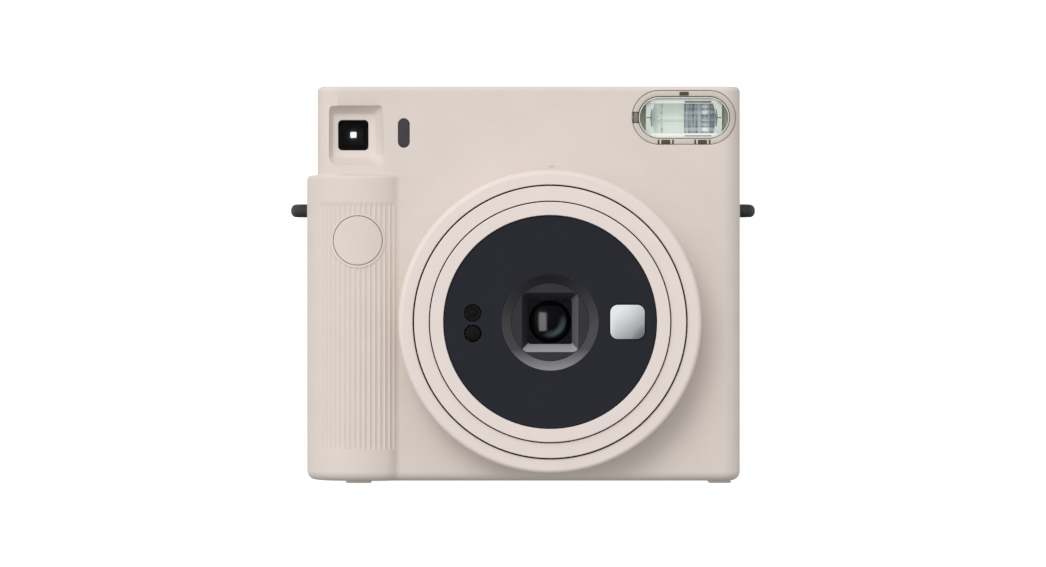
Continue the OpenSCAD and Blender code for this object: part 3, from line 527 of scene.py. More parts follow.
def finish(name, rgb, rough=0.5, grain=0.4, relief=0.01, mottle=0.03, metal=0.0, alpha=1.0, coat=0.0,
           stretch=None, specular=0.5, painted_light=None, painted_glow=0.0):
    """Moulded or drawn surface: colour that drifts a little, a fine grain in the relief and in the gloss."""
    n = Nodes(name)
    base = linear(rgb)
    dark = tuple(c * (1 - mottle * 2) for c in base[:3]) + (1.0,)
    light = tuple(min(1, c * (1 + mottle)) for c in base[:3]) + (1.0,)
    cloud = n.noise(9.0, 2.0)
    fine = n.noise(grain, 3.0, stretch)
    colour = n.mix(n.spread(cloud, 0, 1), dark, light)
    colour = n.mix(n.spread(fine, 0, 0.35), colour, dark)
    # painted_light, when given, paints light and shade into the colour.
    if painted_light:
        colour = painted_light(n, colour)
    # A glow, when given, makes the surface give off its own colour: painted light, as the part is no lamp.
    if painted_glow:
        n.feed("Emission Color", colour)
        n.feed("Emission Strength", painted_glow)
    n.feed("Base Color", colour)
    n.gloss(fine, max(0.02, rough * 0.85), min(1, rough * 1.12), fine, relief)
    for socket, value in (("Metallic", metal), ("Alpha", alpha), ("Coat Weight", coat), ("Coat Roughness", 0.04),
                          ("Specular IOR Level", specular)):
        n.feed(socket, value)
    return n.material


HOOD_Y = BARREL_LOW[1] + 2.75
MIRROR = tuple(middle("selfie_mirror")[[0, 2]])

LOOKS = {
    "cream": finish("cream_plastic", (216, 206, 198), 0.56, 0.28, 0.012, 0.012),
    "cover_cream": finish("cover_cream_plastic", (216, 206, 198), 0.56, 0.28, 0.012, 0.012, painted_light=paint_recess_light),
    # The lens collar, ring and rim carry painted shade in the gaps between them.
    "collar_cream": finish("collar_cream_plastic", (227, 215, 209), 0.52, 0.25, 0.008, 0.01,
                           painted_light=lambda n, c: paint_gap_shade(n, c, 38, 42, COLLAR_LOW[1] + 0.35)),
    "ring_cream": finish("ring_cream_plastic", (227, 215, 210), 0.52, 0.25, 0.008, 0.01,
                         painted_light=lambda n, c: paint_gap_shade(n, c, 38, 43, RING_LOW[1] + 0.45)),
    "rim_cream": finish("rim_cream_plastic", (227, 215, 210), 0.52, 0.25, 0.008, 0.01,
                        painted_light=lambda n, c: paint_gap_shade(n, c, 33, 37, BARREL_LOW[1] + 0.45)),
    "face_black": finish("face_black_plastic", (33, 35, 43), 0.5, 0.3, 0.006, 0.04, specular=0.15),
    "hood_black": finish("hood_black_plastic", (42, 42, 47), 0.45, 0.3, 0.006, 0.04, specular=0.3, painted_light=paint_hood_light),
    "cone_black": finish("cone_black_plastic", (62, 60, 65), 0.4, 0.3, 0.006, 0.04, specular=0.4, painted_light=paint_cone_light),
    "cell_black": finish("cell_black_plastic", (6, 6, 8), 0.6, 0.4, 0.01, 0.05, specular=0.15),
    "inner_black": finish("inner_black_plastic", (28, 28, 31), 0.6, 0.4, 0.015, 0.05),
    "rubber_black": finish("lug_black_plastic", (33, 37, 37), 0.42, 0.4, 0.012, 0.05),
    "lens_glass": finish("lens_glass_painted_reflection", (2, 2, 4), 0.13, 2.0, 0.0005, 0.1, specular=0.05, painted_light=paint_glass_reflection),
    "finder_glass": finish("finder_glass_clear", (30, 32, 34), 0.03, 2.0, 0.0005, 0.01, alpha=0.1, specular=0.2),
    "dark_window": finish("dark_window_plastic", (60, 57, 60), 0.3, 0.5, 0.004, 0.04, specular=0.25),
    "sensor_glass": finish("sensor_gloss_black", (7, 7, 9), 0.14, 0.8, 0.001, 0.1, specular=0.12),
    "mirror": finish("mirror_silvered", (232, 234, 235), 0.12, 3.0, 0.0005, 0.02, metal=1.0, painted_light=paint_mirror_reflection),
    "flash_clear": finish("flash_clear_plastic", (60, 64, 60), 0.06, 1.2, 0.001, 0.02, alpha=0.06),
    "flash_metal": finish("flash_bright_metal", (226, 232, 228), 0.16, 0.6, 0.002, 0.03, metal=1.0),
    "tube_glass": finish("tube_glass_clear", (235, 240, 238), 0.04, 2.0, 0.0005, 0.01, alpha=0.4),
    "xenon_glass": finish("xenon_tube_clear", (200, 206, 204), 0.04, 2.0, 0.0005, 0.01, alpha=0.1),
    "grey_plastic": finish("grey_moulded_plastic", (118, 116, 112), 0.5, 0.4, 0.01, 0.04),
    "shutter_metal": finish("shutter_dark_metal", (70, 70, 74), 0.35, 0.3, 0.003, 0.05, metal=0.8,
                            stretch=(1, 1, 0.1)),
    "can_black": finish("capacitor_sleeve", (26, 26, 30), 0.3, 0.6, 0.005, 0.05),
    "spring_steel": finish("spring_steel_wire", (170, 170, 174), 0.28, 0.2, 0.002, 0.05, metal=1.0),
    "pin_steel": finish("pin_steel_drawn", (178, 178, 180), 0.25, 0.15, 0.002, 0.05, metal=1.0,
                        stretch=(1, 1, 0.08)),
    "roller_steel": finish("roller_steel_ground", (188, 189, 192), 0.2, 0.12, 0.002, 0.04, metal=1.0,
                           stretch=(6, 0.2, 0.2)),
    "switch_plastic": finish("switch_dark_plastic", (40, 40, 44), 0.45, 0.4, 0.008, 0.05),
    "pack_window": finish("smoked_window", (96, 92, 84), 0.08, 1.0, 0.001, 0.04, alpha=0.55),
    "cell_wrap": finish("cell_wrap_blue", (44, 74, 128), 0.3, 0.7, 0.004, 0.05, coat=0.3),
    "gear_nylon": finish("gear_nylon_white", (222, 219, 206), 0.45, 0.3, 0.006, 0.03),
    "brass": finish("brass_turned", (196, 164, 92), 0.28, 0.2, 0.003, 0.05, metal=1.0),
    "board": finish("board_green_mask", (28, 74, 48), 0.35, 0.5, 0.01, 0.12, coat=0.2),
    "dial_white": finish("dial_white_plastic", (232, 230, 224), 0.42, 0.3, 0.004, 0.02),
    "rear_lights": finish("lamp_amber_lens", (206, 132, 64), 0.12, 0.6, 0.002, 0.05, alpha=0.8),
}


# ---------------------------------------------------------------- outer shape of the covers

def arc(cx, cy, r, a0, a1, steps):
    """Points of an arc in the plan, its end left out."""
    return [(cx + r * math.cos(math.radians(a0 + (a1 - a0) * k / steps)),
             cy + r * math.sin(math.radians(a0 + (a1 - a0) * k / steps))) for k in range(steps)]


def line(x0, y0, x1, y1, steps):
    return [(x0 + (x1 - x0) * k / steps, y0 + (y1 - y0) * k / steps) for k in range(steps)]


# The grip's plan is a circle of GRIP_R that tightens to TIGHT_R before it meets the face
TIGHT_ANGLE = 4 * FLUTE_PITCH
TIGHT_X = GRIP_X + (GRIP_R - TIGHT_R) * math.sin(TIGHT_ANGLE)
TIGHT_Y = GRIP_Y - (GRIP_R - TIGHT_R) * math.cos(TIGHT_ANGLE)
VALLEY_Y = FACE_Y - VALLEY_R
VALLEY_X = TIGHT_X + math.sqrt((TIGHT_R + VALLEY_R) ** 2 - (TIGHT_Y - VALLEY_Y) ** 2)
VALLEY_ANGLE = math.degrees(math.atan2(VALLEY_X - TIGHT_X, TIGHT_Y - VALLEY_Y))
COLUMNS = 8
LEFT_PITCHES = 17


def flute_angles():
    """Angles at which the grip's outline is drawn: COLUMNS to each flute pitch, and the side's -90 degrees."""
    pitch = FLUTE_PITCH / COLUMNS
    out = [k * pitch for k in range(-LEFT_PITCHES * COLUMNS, (FLUTE_LAST + 1) * COLUMNS + 1)]
    return [-math.pi / 2] + out


def grip_point(t, sink):
    """Point of the grip's plan at the arc angle t, sunk below the smooth surface."""
    if t <= TIGHT_ANGLE:
        return GRIP_X + (GRIP_R - sink) * math.sin(t), GRIP_Y - (GRIP_R - sink) * math.cos(t)
    t = TIGHT_ANGLE + (t - TIGHT_ANGLE) * GRIP_R / TIGHT_R
    return TIGHT_X + (TIGHT_R - sink) * math.sin(t), TIGHT_Y - (TIGHT_R - sink) * math.cos(t)


ANGLES = flute_angles()


def lower_plan(inset, depth=0.0):
    """Plan of the covers below the step; depth 0 to 1 sinks the flutes."""
    left, right = -HALF_W + inset, HALF_W - inset
    front, back = FACE_Y + inset, BACK_Y - inset
    r = CORNER_R - inset
    out = arc(left + r, back - r, r, 90, 180, 8)
    out += line(left, back - r, left, GRIP_Y, 6)
    out += [grip_point(t, inset + depth * flute_depth(t)) for t in ANGLES]
    start = 180 - (90 - VALLEY_ANGLE)
    out += arc(VALLEY_X, VALLEY_Y, VALLEY_R + inset, start, 90, 6)
    out += line(VALLEY_X, front, right - r, front, 16)
    out += arc(right - r, front + r, r, 270, 360, 10)
    out += line(right, front + r, right, back - r, 6)
    out += arc(right - r, back - r, r, 0, 90, 8)
    out += line(right - r, back, left + r, back, 12)
    return np.array(out)


def flute_depth(t):
    """Depth of the flutes at the angle t from straight ahead."""
    if not FLUTE_FIRST * FLUTE_PITCH <= t <= (FLUTE_LAST + 1) * FLUTE_PITCH:
        return 0.0
    half = GRIP_R * math.sin(FLUTE_PITCH / 2)
    centre = GRIP_R * math.cos(FLUTE_PITCH / 2) + math.sqrt(FLUTE_R ** 2 - half ** 2)
    off = t - (math.floor(t / FLUTE_PITCH + 1e-9) + 0.5) * FLUTE_PITCH
    reach = centre * math.cos(off) - math.sqrt(max(0, FLUTE_R ** 2 - (centre * math.sin(off)) ** 2))
    return max(0.0, GRIP_R - reach)


def upper_corner(p, inset):
    """A point of the plan above the step drawn in by the inset, along the outline's own normal."""
    low = np.array([SHOULDER_X + CORNER_R, FACE_Y + CORNER_R])
    high = np.array([HALF_W - CORNER_R, BACK_Y - CORNER_R])
    anchor = np.clip(p, low, high)
    if p[0] < SHOULDER_X + UPPER_R and p[1] < FACE_Y + UPPER_R:
        anchor = np.array([SHOULDER_X + UPPER_R, FACE_Y + UPPER_R])
    off = p - anchor
    return p - off / np.linalg.norm(off) * inset


def upper_plan(inset):
    """Plan above the step, point for point with the lower plan."""
    low = np.array([SHOULDER_X, FACE_Y])
    high = np.array([HALF_W, BACK_Y])
    centre = np.array([GRIP_X, GRIP_Y])
    out = []
    for p in lower_plan(0):
        ray = p - centre
        inside = (low[0] + CORNER_R < p[0] and p[1] > FACE_Y - 1e-6) or p[0] > VALLEY_X
        if not inside or p[1] < FACE_Y - 1e-6:
            spans = [((high if ray[axis] > 0 else low)[axis] - centre[axis]) / ray[axis]
                     for axis in (0, 1) if abs(ray[axis]) > 1e-9]
            q = centre + ray * min(spans)
            p = q
            for cx, cy, r in ((low[0] + UPPER_R, low[1] + UPPER_R, UPPER_R),
                              (low[0] + CORNER_R, high[1] - CORNER_R, CORNER_R)):
                if q[0] < cx and (q[1] < cy if cy < 0 else q[1] > cy):
                    corner = np.array([cx, cy])
                    unit = ray / np.linalg.norm(ray)
                    off = centre - corner
                    half = off @ unit
                    p = centre + unit * (-half + math.sqrt(half * half - off @ off + r * r))
        out.append(upper_corner(np.array(p, float), inset))
    return np.array(out)


def outer_rings():
    """Rings of the covers' whole outer skin from the bottom to the top."""
    rings = [(lower_plan(BOTTOM_R * s), BOTTOM + BOTTOM_R * c) for s, c in quarter(7)]
    plain = lower_plan(0)
    rings.append((plain, FLUTE_Z0))
    rings.append((lower_plan(0, 1), FLUTE_Z0 + 0.1))
    rings += [(lower_plan(0, 1), z) for z in (25, 40, 55, 70)]
    for k in range(9):
        t = k / 8
        rings.append((lower_plan(0, 1 - t * t * (3 - 2 * t)), FLUTE_Z1 - FLUTE_RUNOUT * (1 - t)))
    above = upper_plan(0)
    gap = above - plain
    reach = np.linalg.norm(gap, axis=1)
    unit = gap / np.maximum(reach, 1e-6)[:, None]
    shoulder = np.minimum(STEP_R, reach * 0.75)[:, None]
    rings += [(plain + unit * shoulder * c, GRIP_TOP - STEP_R * s) for s, c in quarter(6)]
    root = np.minimum(0.5, reach * 0.2)[:, None]
    rings += [(above - unit * root * s, GRIP_TOP + 0.02 + 0.5 * c) for s, c in quarter(3)]
    rings += [(above, z) for z in (96, 104, 112)]
    rings += [(upper_plan(TOP_R * c), TOP - TOP_R * s) for s, c in quarter(7)]
    return [[(p[0], p[1], z) for p in plan] for plan, z in rings]


def inner_volume():
    """Space inside the walls."""
    low = lower_plan(WALL)
    high = upper_plan(WALL)
    rings = [(low, BOTTOM + WALL), (low, GRIP_TOP - WALL), (high, GRIP_TOP - WALL + 0.01), (high, TOP - WALL)]
    return loft([[(p[0], p[1], z) for p in plan] for plan, z in rings])


def grip_surface(x):
    """Depth of the smooth grip at x."""
    return GRIP_Y - math.sqrt(GRIP_R ** 2 - (x - GRIP_X) ** 2)


def on_grip(radius, depth, around=96):
    """Circle about the button's line, each point at the given depth below the grip's smooth surface."""
    flat = [(BUTTON_X + radius * c, BUTTON_Z + radius * s) for c, s in circle(around)]
    return [(x, grip_surface(x) + depth, z) for x, z in flat]


def grip_plug(radius, y_back):
    """Solid with the grip's smooth surface at its front, around the button's line."""
    rings = [on_grip(radius * k / 6, -0.02) for k in range(1, 7)]
    return loft([[(x, y_back, z) for x, y, z in rings[-1]]] + rings[::-1])


def button_well():
    """Cutter for the button's hole, its mouth rounded where it meets the grip."""
    hole, lip = BUTTON_R + 0.13, 0.12
    rings = [on_grip(hole + lip, -2.0)] + [on_grip(hole + lip * s, lip * c) for s, c in quarter(4)]
    rings.append([(x, -6.0, z) for x, y, z in on_grip(hole, 0)])
    return loft(rings)


def seam_groove():
    """V-shaped groove around the covers at the parting plane."""
    points = []
    outline = fillet([(-HALF_W, BOTTOM, BOTTOM_R), (HALF_W, BOTTOM, BOTTOM_R), (HALF_W, TOP, TOP_R),
                      (SHOULDER_X, TOP, TOP_R), (SHOULDER_X, GRIP_TOP, 0.5), (-HALF_W, GRIP_TOP, 1.3)], 6)
    count = len(outline)
    for k in range(count):
        p = np.array(outline[k])
        ahead = np.array(outline[(k + 1) % count]) - p
        behind = p - np.array(outline[k - 1])
        way = ahead / np.linalg.norm(ahead) + behind / np.linalg.norm(behind)
        normal = np.array([way[1], -way[0]]) / np.linalg.norm(way)
        out, deep = p + normal * 0.2, p - normal * 0.35
        points.append([(out[0], PARTING_Y - 0.32, out[1]), (deep[0], PARTING_Y, deep[1]),
                       (out[0], PARTING_Y + 0.32, out[1])])
    return loft(points, closed_path=True)


# ---------------------------------------------------------------- covers

FINDER_HOLE = (FINDER[0], FINDER[2] - 0.35, 9.15)
FINDER_FLOOR_Y = FACE_Y + 4.2
# The same corners at the recess's floor
FINDER_FLOOR = ((-57.1, 98.9, 0.8), (-45.3, 98.7, 1.2), (-45.1, 110.9, 0.9), (-57.1, 110.9, 1.0))


def finder_ring(share, grow, y):
    """Outline of the recess between its mouth (share 0) and its floor (share 1), drawn out by grow."""
    points = []
    ways = ((-0.4, -1), (1, -1), (1, 0.4), (-0.4, 0.4))
    for (x0, z0, r0), (x1, z1, r1), (sx, sz) in zip(FINDER_MOUTH, FINDER_FLOOR, ways):
        points.append((x0 + (x1 - x0) * share + sx * grow, z0 + (z1 - z0) * share + sz * grow,
                       r0 + (r1 - r0) * share + 0.8 * grow))
    return at_depth(fillet(points, 8), y)


def finder_recess():
    """Cutter for the viewfinder's recess: a round mouth, steep walls left and above, softer ones right and below."""
    flare, depth = 0.7, FINDER_FLOOR_Y - FACE_Y
    rings = [finder_ring(0, flare, FACE_Y - 1)]
    rings += [finder_ring(0, flare * s, FACE_Y + flare * c) for s, c in quarter(5)]
    for share, down in ((0.3, 0.42), (0.52, 0.68), (0.7, 0.84), (0.86, 0.95), (1.0, 1.0)):
        rings.append(finder_ring(share, 0, FACE_Y + depth * down))
    fx, fz, fw = FINDER_HOLE
    count = len(rings[0]) // 4
    for grow, y in ((0.12, FINDER_FLOOR_Y + 0.002), (0.0, FINDER_FLOOR_Y + 0.12), (0.0, FINDER_FLOOR_Y + 3)):
        hole = rounded_rect(fx, fz, fw + 2 * grow, fw + 2 * grow, 1.25 + grow, 8)
        rings.append(at_depth(hole[2 * count:] + hole[:2 * count], y))
    return loft(rings)


def build_covers():
    skin = loft(outer_rings())
    hollow = scratch("hollow", *inner_volume())
    keep = [prism(rounded_rect(-50, 104.7, 20, 20.4, 2), FACE_Y, FINDER_FLOOR_Y + 1.5),
            rod_y(BUTTON_X, BUTTON_Z, BUTTON_R + 1.9, -20, BUTTON_BACK - 1.4)]
    screw_low, screw_high = box("case_screws")
    bosses = [(screw_low[0] + 2.2, screw_low[2] + 2.2), (screw_low[0] + 2.2, 90.0),
              (screw_high[0] - 2.2, 8.5), (screw_high[0] - 2.2, screw_high[2] - 2.2)]
    keep += [rod_y(x, z, 2.6, -20, 30) for x, z in bosses]
    carve(hollow, [scratch("kept", *part) for part in keep])

    front = scratch("front_shell", *skin)
    carve(front, [scratch("plug", *grip_plug(BUTTON_RING_R, -8))], "UNION")
    carve(front, [scratch("front_half", *brick((-80, -60, -10), (80, PARTING_Y - 0.04, 140)))], "INTERSECT")
    cuts = [hollow,
            scratch("groove", *seam_groove()),
            scratch("lens_hole", *rod_y(LENS_X, LENS_Z, COLLAR_R - 1.2, -40, -9, 160)),
            scratch("recess", *finder_recess()),
            scratch("pill_hole", *flared_hole(PILL[0], PILL[2], 3.5, 8.8, 1.75, FACE_Y, FACE_Y + 4, 0.22, 12)),
            scratch("flash_hole", *flared_hole(FLASH[0], FLASH[2], 31.3, 16.3, 8.15, FACE_Y, FACE_Y + 8, 0.3, 20)),
            scratch("button_hole", *button_well()),
            scratch("index_mark", *flared_hole(LENS_X + 0.6, LENS_Z + COLLAR_R + 1.3, 1.5, 0.7, 0.35, FACE_Y,
                                               FACE_Y + 0.25, 0.1, 5))]
    cuts += [scratch("screw_hole", *rod_y(x, z, 1.22, -4, 30)) for x, z in bosses]
    carve(front, cuts)
    weighted(settle(front, "front_cover", "cover_cream", ("front_cover",)))

    # The rear cover keeps every opening of its CAD node inside the same rounded outer skin
    rear = show(bpy.data.objects.new("rear_shell", frame["nodes"]["rear_cover"].data.copy()))
    tidy(rear, 30)
    skin_piece = scratch("skin", *skin)
    room = brick((box("film_door_pin")[0][0] - 2, BACK_Y - 3, BOTTOM + 2), (HALF_W - 2, 40, TOP - 2))
    carve(skin_piece, [scratch("knuckle_room", *room)], "UNION")
    carve(rear, [skin_piece], "INTERSECT", 30)
    # The film exit's edges are eased
    ease = 0.35
    lip = [[(-30 - g, 8.3 - g, z), (46 + g, 8.3 - g, z), (46 + g, 11.3 + g, z), (-30 - g, 11.3 + g, z)]
           for g, z in ((0, TOP - ease), (ease, TOP), (ease, TOP + 1))]
    carve(rear, [scratch("groove", *seam_groove()), scratch("lip", *loft(lip))], smooth=30)
    weighted(settle(rear, "rear_cover", "cover_cream", ("rear_cover",)))


# ---------------------------------------------------------------- lens

def ring_profile(r_in, r_out, y_front, out_r, in_r, back):
    """Front of a ring with round edges, closed by the given back points (from outside to inside)."""
    inner = [(r_in + in_r * c, y_front + in_r * s) for s, c in quarter(6)]
    outer = [(r_out - out_r * s, y_front + out_r * c) for s, c in quarter(8)]
    return inner + outer + back


def build_lens():
    collar_y = COLLAR_LOW[1]
    lip_y = collar_y + 1.6
    foot = COLLAR_R + 0.45
    back = behind(FACE_Y, (COLLAR_R, -0.5), (foot, -0.12), (foot, 0.05), (COLLAR_R - 1.25, 0.05), (COLLAR_R - 1.25, 3),
                  (43.2, 3)) + [(43.2, lip_y), (COLLAR_IN_R, lip_y)]
    collar = lathe(ring_profile(COLLAR_IN_R, COLLAR_R, collar_y, 1.3, 0.25, back))
    weighted(replace("collar_trim", collar, "lens_collar", "collar_cream"))

    ring_y = RING_LOW[1]
    back = behind(lip_y, (RING_R, 0.6), (42.6, 0.6), (42.6, 2.4), (RING_R, 2.4))
    back += [(RING_R, RING_HIGH[1]), (38.6, RING_HIGH[1]), (38.6, ring_y + 3.9), (RING_IN_R, ring_y + 3.9)]
    ring = lathe(ring_profile(RING_IN_R, RING_R, ring_y, 0.22, 0.16, back))
    weighted(replace("turning_ring", ring, "lens_ring", "ring_cream"))

    disc_y = HOOD_Y - 2.1
    septum = disc_y + 2.2
    back = [(35.85, BARREL_HIGH[1]), (34.2, BARREL_HIGH[1]), (34.2, septum + 1.5), (11.8, septum + 1.5),
            (11.8, septum), (BARREL_IN_R, septum)]
    barrel = lathe(ring_profile(BARREL_IN_R, BARREL_R, BARREL_LOW[1], 0.25, 0.2, back))
    weighted(replace("barrel_trim", barrel, "lens_barrel", "rim_cream"))

    # Black plate with its sensor holes and the pocket of the mirror, and the cone round the lens
    profile = behind(disc_y, (CONE_R, 0.3), (CONE_R, 0.06), (14.56, 0), (31.45, 0), (31.7, 0.08),
                     (31.84, 0.3), (31.84, 2.2), (CONE_R, 2.2))
    face = scratch("lens_plate", *lathe(profile))
    light_eye, flash_eye = middle("light_sensor_lens"), middle("flash_sensor_window")
    cuts = [flared_hole(s[0], s[2], 5.3, 5.3, 2.65, disc_y, septum + 1, 0.12, 16) for s in (light_eye, flash_eye)]
    cuts.append(flared_hole(*MIRROR, 10.85, 10.85, 2.5, disc_y, disc_y + 0.85, 0.12, 10))
    carve(face, [scratch("plate_cut", *cut) for cut in cuts])
    weighted(settle(face, "lens_face", "face_black", ("lens_face",)))
    cone = behind(disc_y, (11.7, 2.2), (11.7, 2.08), (14.2, 0.1), (14.3, 0.03), (14.46, 0.03), (14.46, 2.2))
    weighted(make("lens_cone", lathe(cone), "lens_face", "cone_black"))

    # Square hood, its funnel given by (y, width, height, corner) stations
    y0, y1 = HOOD_Y, box("lens_hood")[1][1]
    hood = scratch("hood_square", *solid_lathe([(0, y0), (11.6, y0), (11.6, y1), (0, y1)], around=128))
    stations = [(y0 - 1, 17.0, 17.9, 1.9), (y0, 16.9, 17.8, 1.8), (y0 + 0.2, 16.6, 17.5, 1.6),
                (y1 - 0.6, 13.3, 13.3, 0.6), (y1 + 1, 12.6, 12.6, 0.5)]
    funnel = loft([at_depth(rounded_rect(LENS_X, LENS_Z - 0.1, w, h, r, 10), y) for y, w, h, r in stations])
    carve(hood, [scratch("hood_cut", *funnel)])
    settle(hood, "lens_hood", "hood_black", ("lens_hood",))

    low, high = box("lens_cell")
    lip = behind(low[1], (6.33, 0.5), (6.55, 0.25), (6.8, 0.2), (7.4, 0.2), (7.5, 0), (10.4, 0), (10.5, 0.1))
    lip += [(10.5, high[1]), (6.33, high[1])]
    replace("lens_cell_ring", lathe(lip, 128), "lens_cell", "cell_black")

    low, high = box("front_lens")
    sines = [math.sin(math.radians(90) * k / 12) for k in range(13)]
    glass = [(GLASS_R * s, low[1] + 1.5 * s ** 2) for s in sines]
    glass += [(GLASS_R, high[1] - 0.2), (GLASS_R - 0.2, high[1]), (0, high[1])]
    replace("front_glass", solid_lathe(glass, around=128), "front_lens", "lens_glass")

    eye = behind(disc_y, (0, 0.55), (0.5, 0.6), (0.95, 0.8), (1.05, 0.8), (1.15, 0.5), (1.45, 0.5), (1.55, 0.25),
                 (1.95, 0.25), (2.1, 0.12), (2.35, 0.12), (2.55, 0.3), (2.55, 2.2), (0, 2.2))
    replace("light_sensor_eye", solid_lathe(eye, light_eye[0], light_eye[2]), "light_sensor_lens", "sensor_glass", 25)
    dome = behind(disc_y, (0, 0.12), (1.2, 0.16), (2.0, 0.28), (2.4, 0.42), (2.55, 0.6), (2.55, 2.2), (0, 2.2))
    replace("flash_sensor_dome", solid_lathe(dome, flash_eye[0], flash_eye[2]), "flash_sensor_window", "sensor_glass")
    low, high = box("selfie_mirror")
    mirror = plate(*MIRROR, 10.55, 10.55, 2.4, low[1], high[1], 0.35, 0.05, 12)
    replace("mirror_plate", mirror, "selfie_mirror", "mirror")


# ---------------------------------------------------------------- viewfinder, pill window, button

def hollow_pad(x, z, outer, inner, r_out, r_in, y0, y1, edge=0.25):
    """Rounded rectangular frame with a rounded rectangular hole and round front and back edges."""
    stations = edge_stations(y0, y1, edge, edge)
    skin = pad_rings(x, z, outer, outer, r_out, stations, 8)
    hole = []
    for y, inset in reversed(stations):
        wide = inner + 2 * inset * 0.8
        hole.append(at_depth(rounded_rect(x, z, wide, wide, r_in + inset * 0.8, 8), y))
    return loft(skin + hole, closed_path=True)


def build_finder():
    low, high = box("viewfinder_window")
    fx, fz, fw = FINDER_HOLE
    glass = plate(fx, fz, fw - 0.1, fw - 0.1, 1.2, low[1] + 0.15, high[1], 0.15, 0.1, 8)
    replace("finder_glass", glass, "viewfinder_window", "finder_glass")

    # Tunnel: side walls, a front mask stepping down to a small square opening, and the rear plate
    low, high = box("viewfinder_tube")
    sight = (fx - 0.15, fz + 0.25)
    mask_y = low[1] + 5
    centre = (FINDER[0], FINDER[2])
    stations = [(low[1], centre, 11.3, 11.3, 1), (high[1], centre, 11.3, 11.3, 1), (high[1], centre, 6, 6, 0.6),
                (high[1] - 1.9, centre, 6, 6, 0.6), (high[1] - 1.9, centre, 9.4, 9.4, 0.6),
                (mask_y + 0.6, centre, 9.4, 9.4, 0.6), (mask_y + 0.6, sight, 1.85, 1.8, 0.2),
                (mask_y, sight, 1.85, 1.8, 0.2), (mask_y - 0.3, sight, 3.0, 3.0, 0.5),
                (mask_y - 1.2, sight, 6.0, 6.0, 0.9), (low[1], centre, 9.5, 9.5, 0.8)]
    rings = [at_depth(rounded_rect(*at, w, h, r, 6), y) for y, at, w, h, r in stations]
    n = Nodes("finder_tunnel_black")
    away = n.around(*sight)[2]
    fine = n.noise(0.5)
    # The mask is painted paler round the sight hole: a painted glow of the light that comes through it.
    painted_glow = n.mix(n.spread(away, 1, 0, 0.9 * MM, 2.3 * MM), linear((9, 8, 11)), linear((70, 82, 86)))
    n.feed("Base Color", n.mix(n.spread(fine, 0, 0.4), painted_glow, linear((8, 8, 9))))
    n.gloss(fine, 0.5, 0.7, fine, 0.01)
    n.feed("Specular IOR Level", 0.2)
    replace("finder_tunnel", loft(rings, closed_path=True), "viewfinder_tube", n.material, 30)

    low, high = box("viewfinder_eyepiece")
    glass = plate(*centre, 8.8, 8.8, 0.9, low[1], high[1], 0.15, 0.15)
    replace("eyepiece_glass", glass, "viewfinder_eyepiece", "finder_glass")
    low, high = box("eyepiece_frame")
    surround = hollow_pad(*centre, 14.5, 8.4, 3, 1.2, low[1], high[1], 0.6)
    replace("eyepiece_surround", surround, "eyepiece_frame", "rubber_black")

    low, high = box("light_window")
    pill = plate(PILL[0], PILL[2], 3.45, 8.7, 1.725, low[1] - 0.08, high[1], 0.4, 0.1, 14)
    replace("light_pill", pill, "light_window", "dark_window")


def build_button():
    wide, narrow = on_grip(BUTTON_R + 1, 0), on_grip(BUTTON_R, 0)
    rings = [[(p[0], y, p[2]) for p in ring]
             for ring, y in ((wide, BUTTON_BACK), (wide, BUTTON_BACK - 1), (narrow, BUTTON_BACK - 1))]
    sunk, edge = 0.06, 0.3
    rings += [on_grip(BUTTON_R - edge * c, sunk + edge * s) for s, c in quarter(5)]
    rings += [on_grip(BUTTON_R * share, sunk + 0.12 * (1 - share)) for share in (0.9, 0.75, 0.55, 0.35, 0.15)]
    weighted(replace("button_cap", loft(rings), "shutter_button", "cream"))


# ---------------------------------------------------------------- flash

def stadium_rings(stations):
    """Stadium outlines of the flash window at (depth behind the face, inset) stations."""
    placed = [(FACE_Y + depth, inset) for depth, inset in stations]
    return pad_rings(FLASH[0], FLASH[2], FLASH_W, FLASH_H, FLASH_H / 2, placed, 20)


def bend_back(verts):
    """Follows the covers' rounded right-hand edge, so that a flat part stays just under the skin."""
    out = []
    start = HALF_W - CORNER_R
    for x, y, z in verts:
        if x > start:
            over = min(x - start, CORNER_R - 0.2)
            y += CORNER_R - math.sqrt(CORNER_R ** 2 - over ** 2)
        out.append((x, y, z))
    return out


def flash_ring(name, stations, node, look, replaces=()):
    """Stadium-shaped ring that follows the covers' corner."""
    verts, faces = loft(stadium_rings(stations), closed_path=True)
    return make(name, (bend_back(verts), faces), node, look, replaces)


def border_look():
    n = Nodes("flash_border_plastic")
    base = linear((206, 197, 187))
    fine = n.noise(0.5)
    n.feed("Base Color", n.mix(n.spread(fine, 0, 1), tuple(c * 0.93 for c in base[:3]) + (1,), base))
    n.gloss(fine, 0.2, 0.34, n.noise(3.0), 0.03)
    return n.material


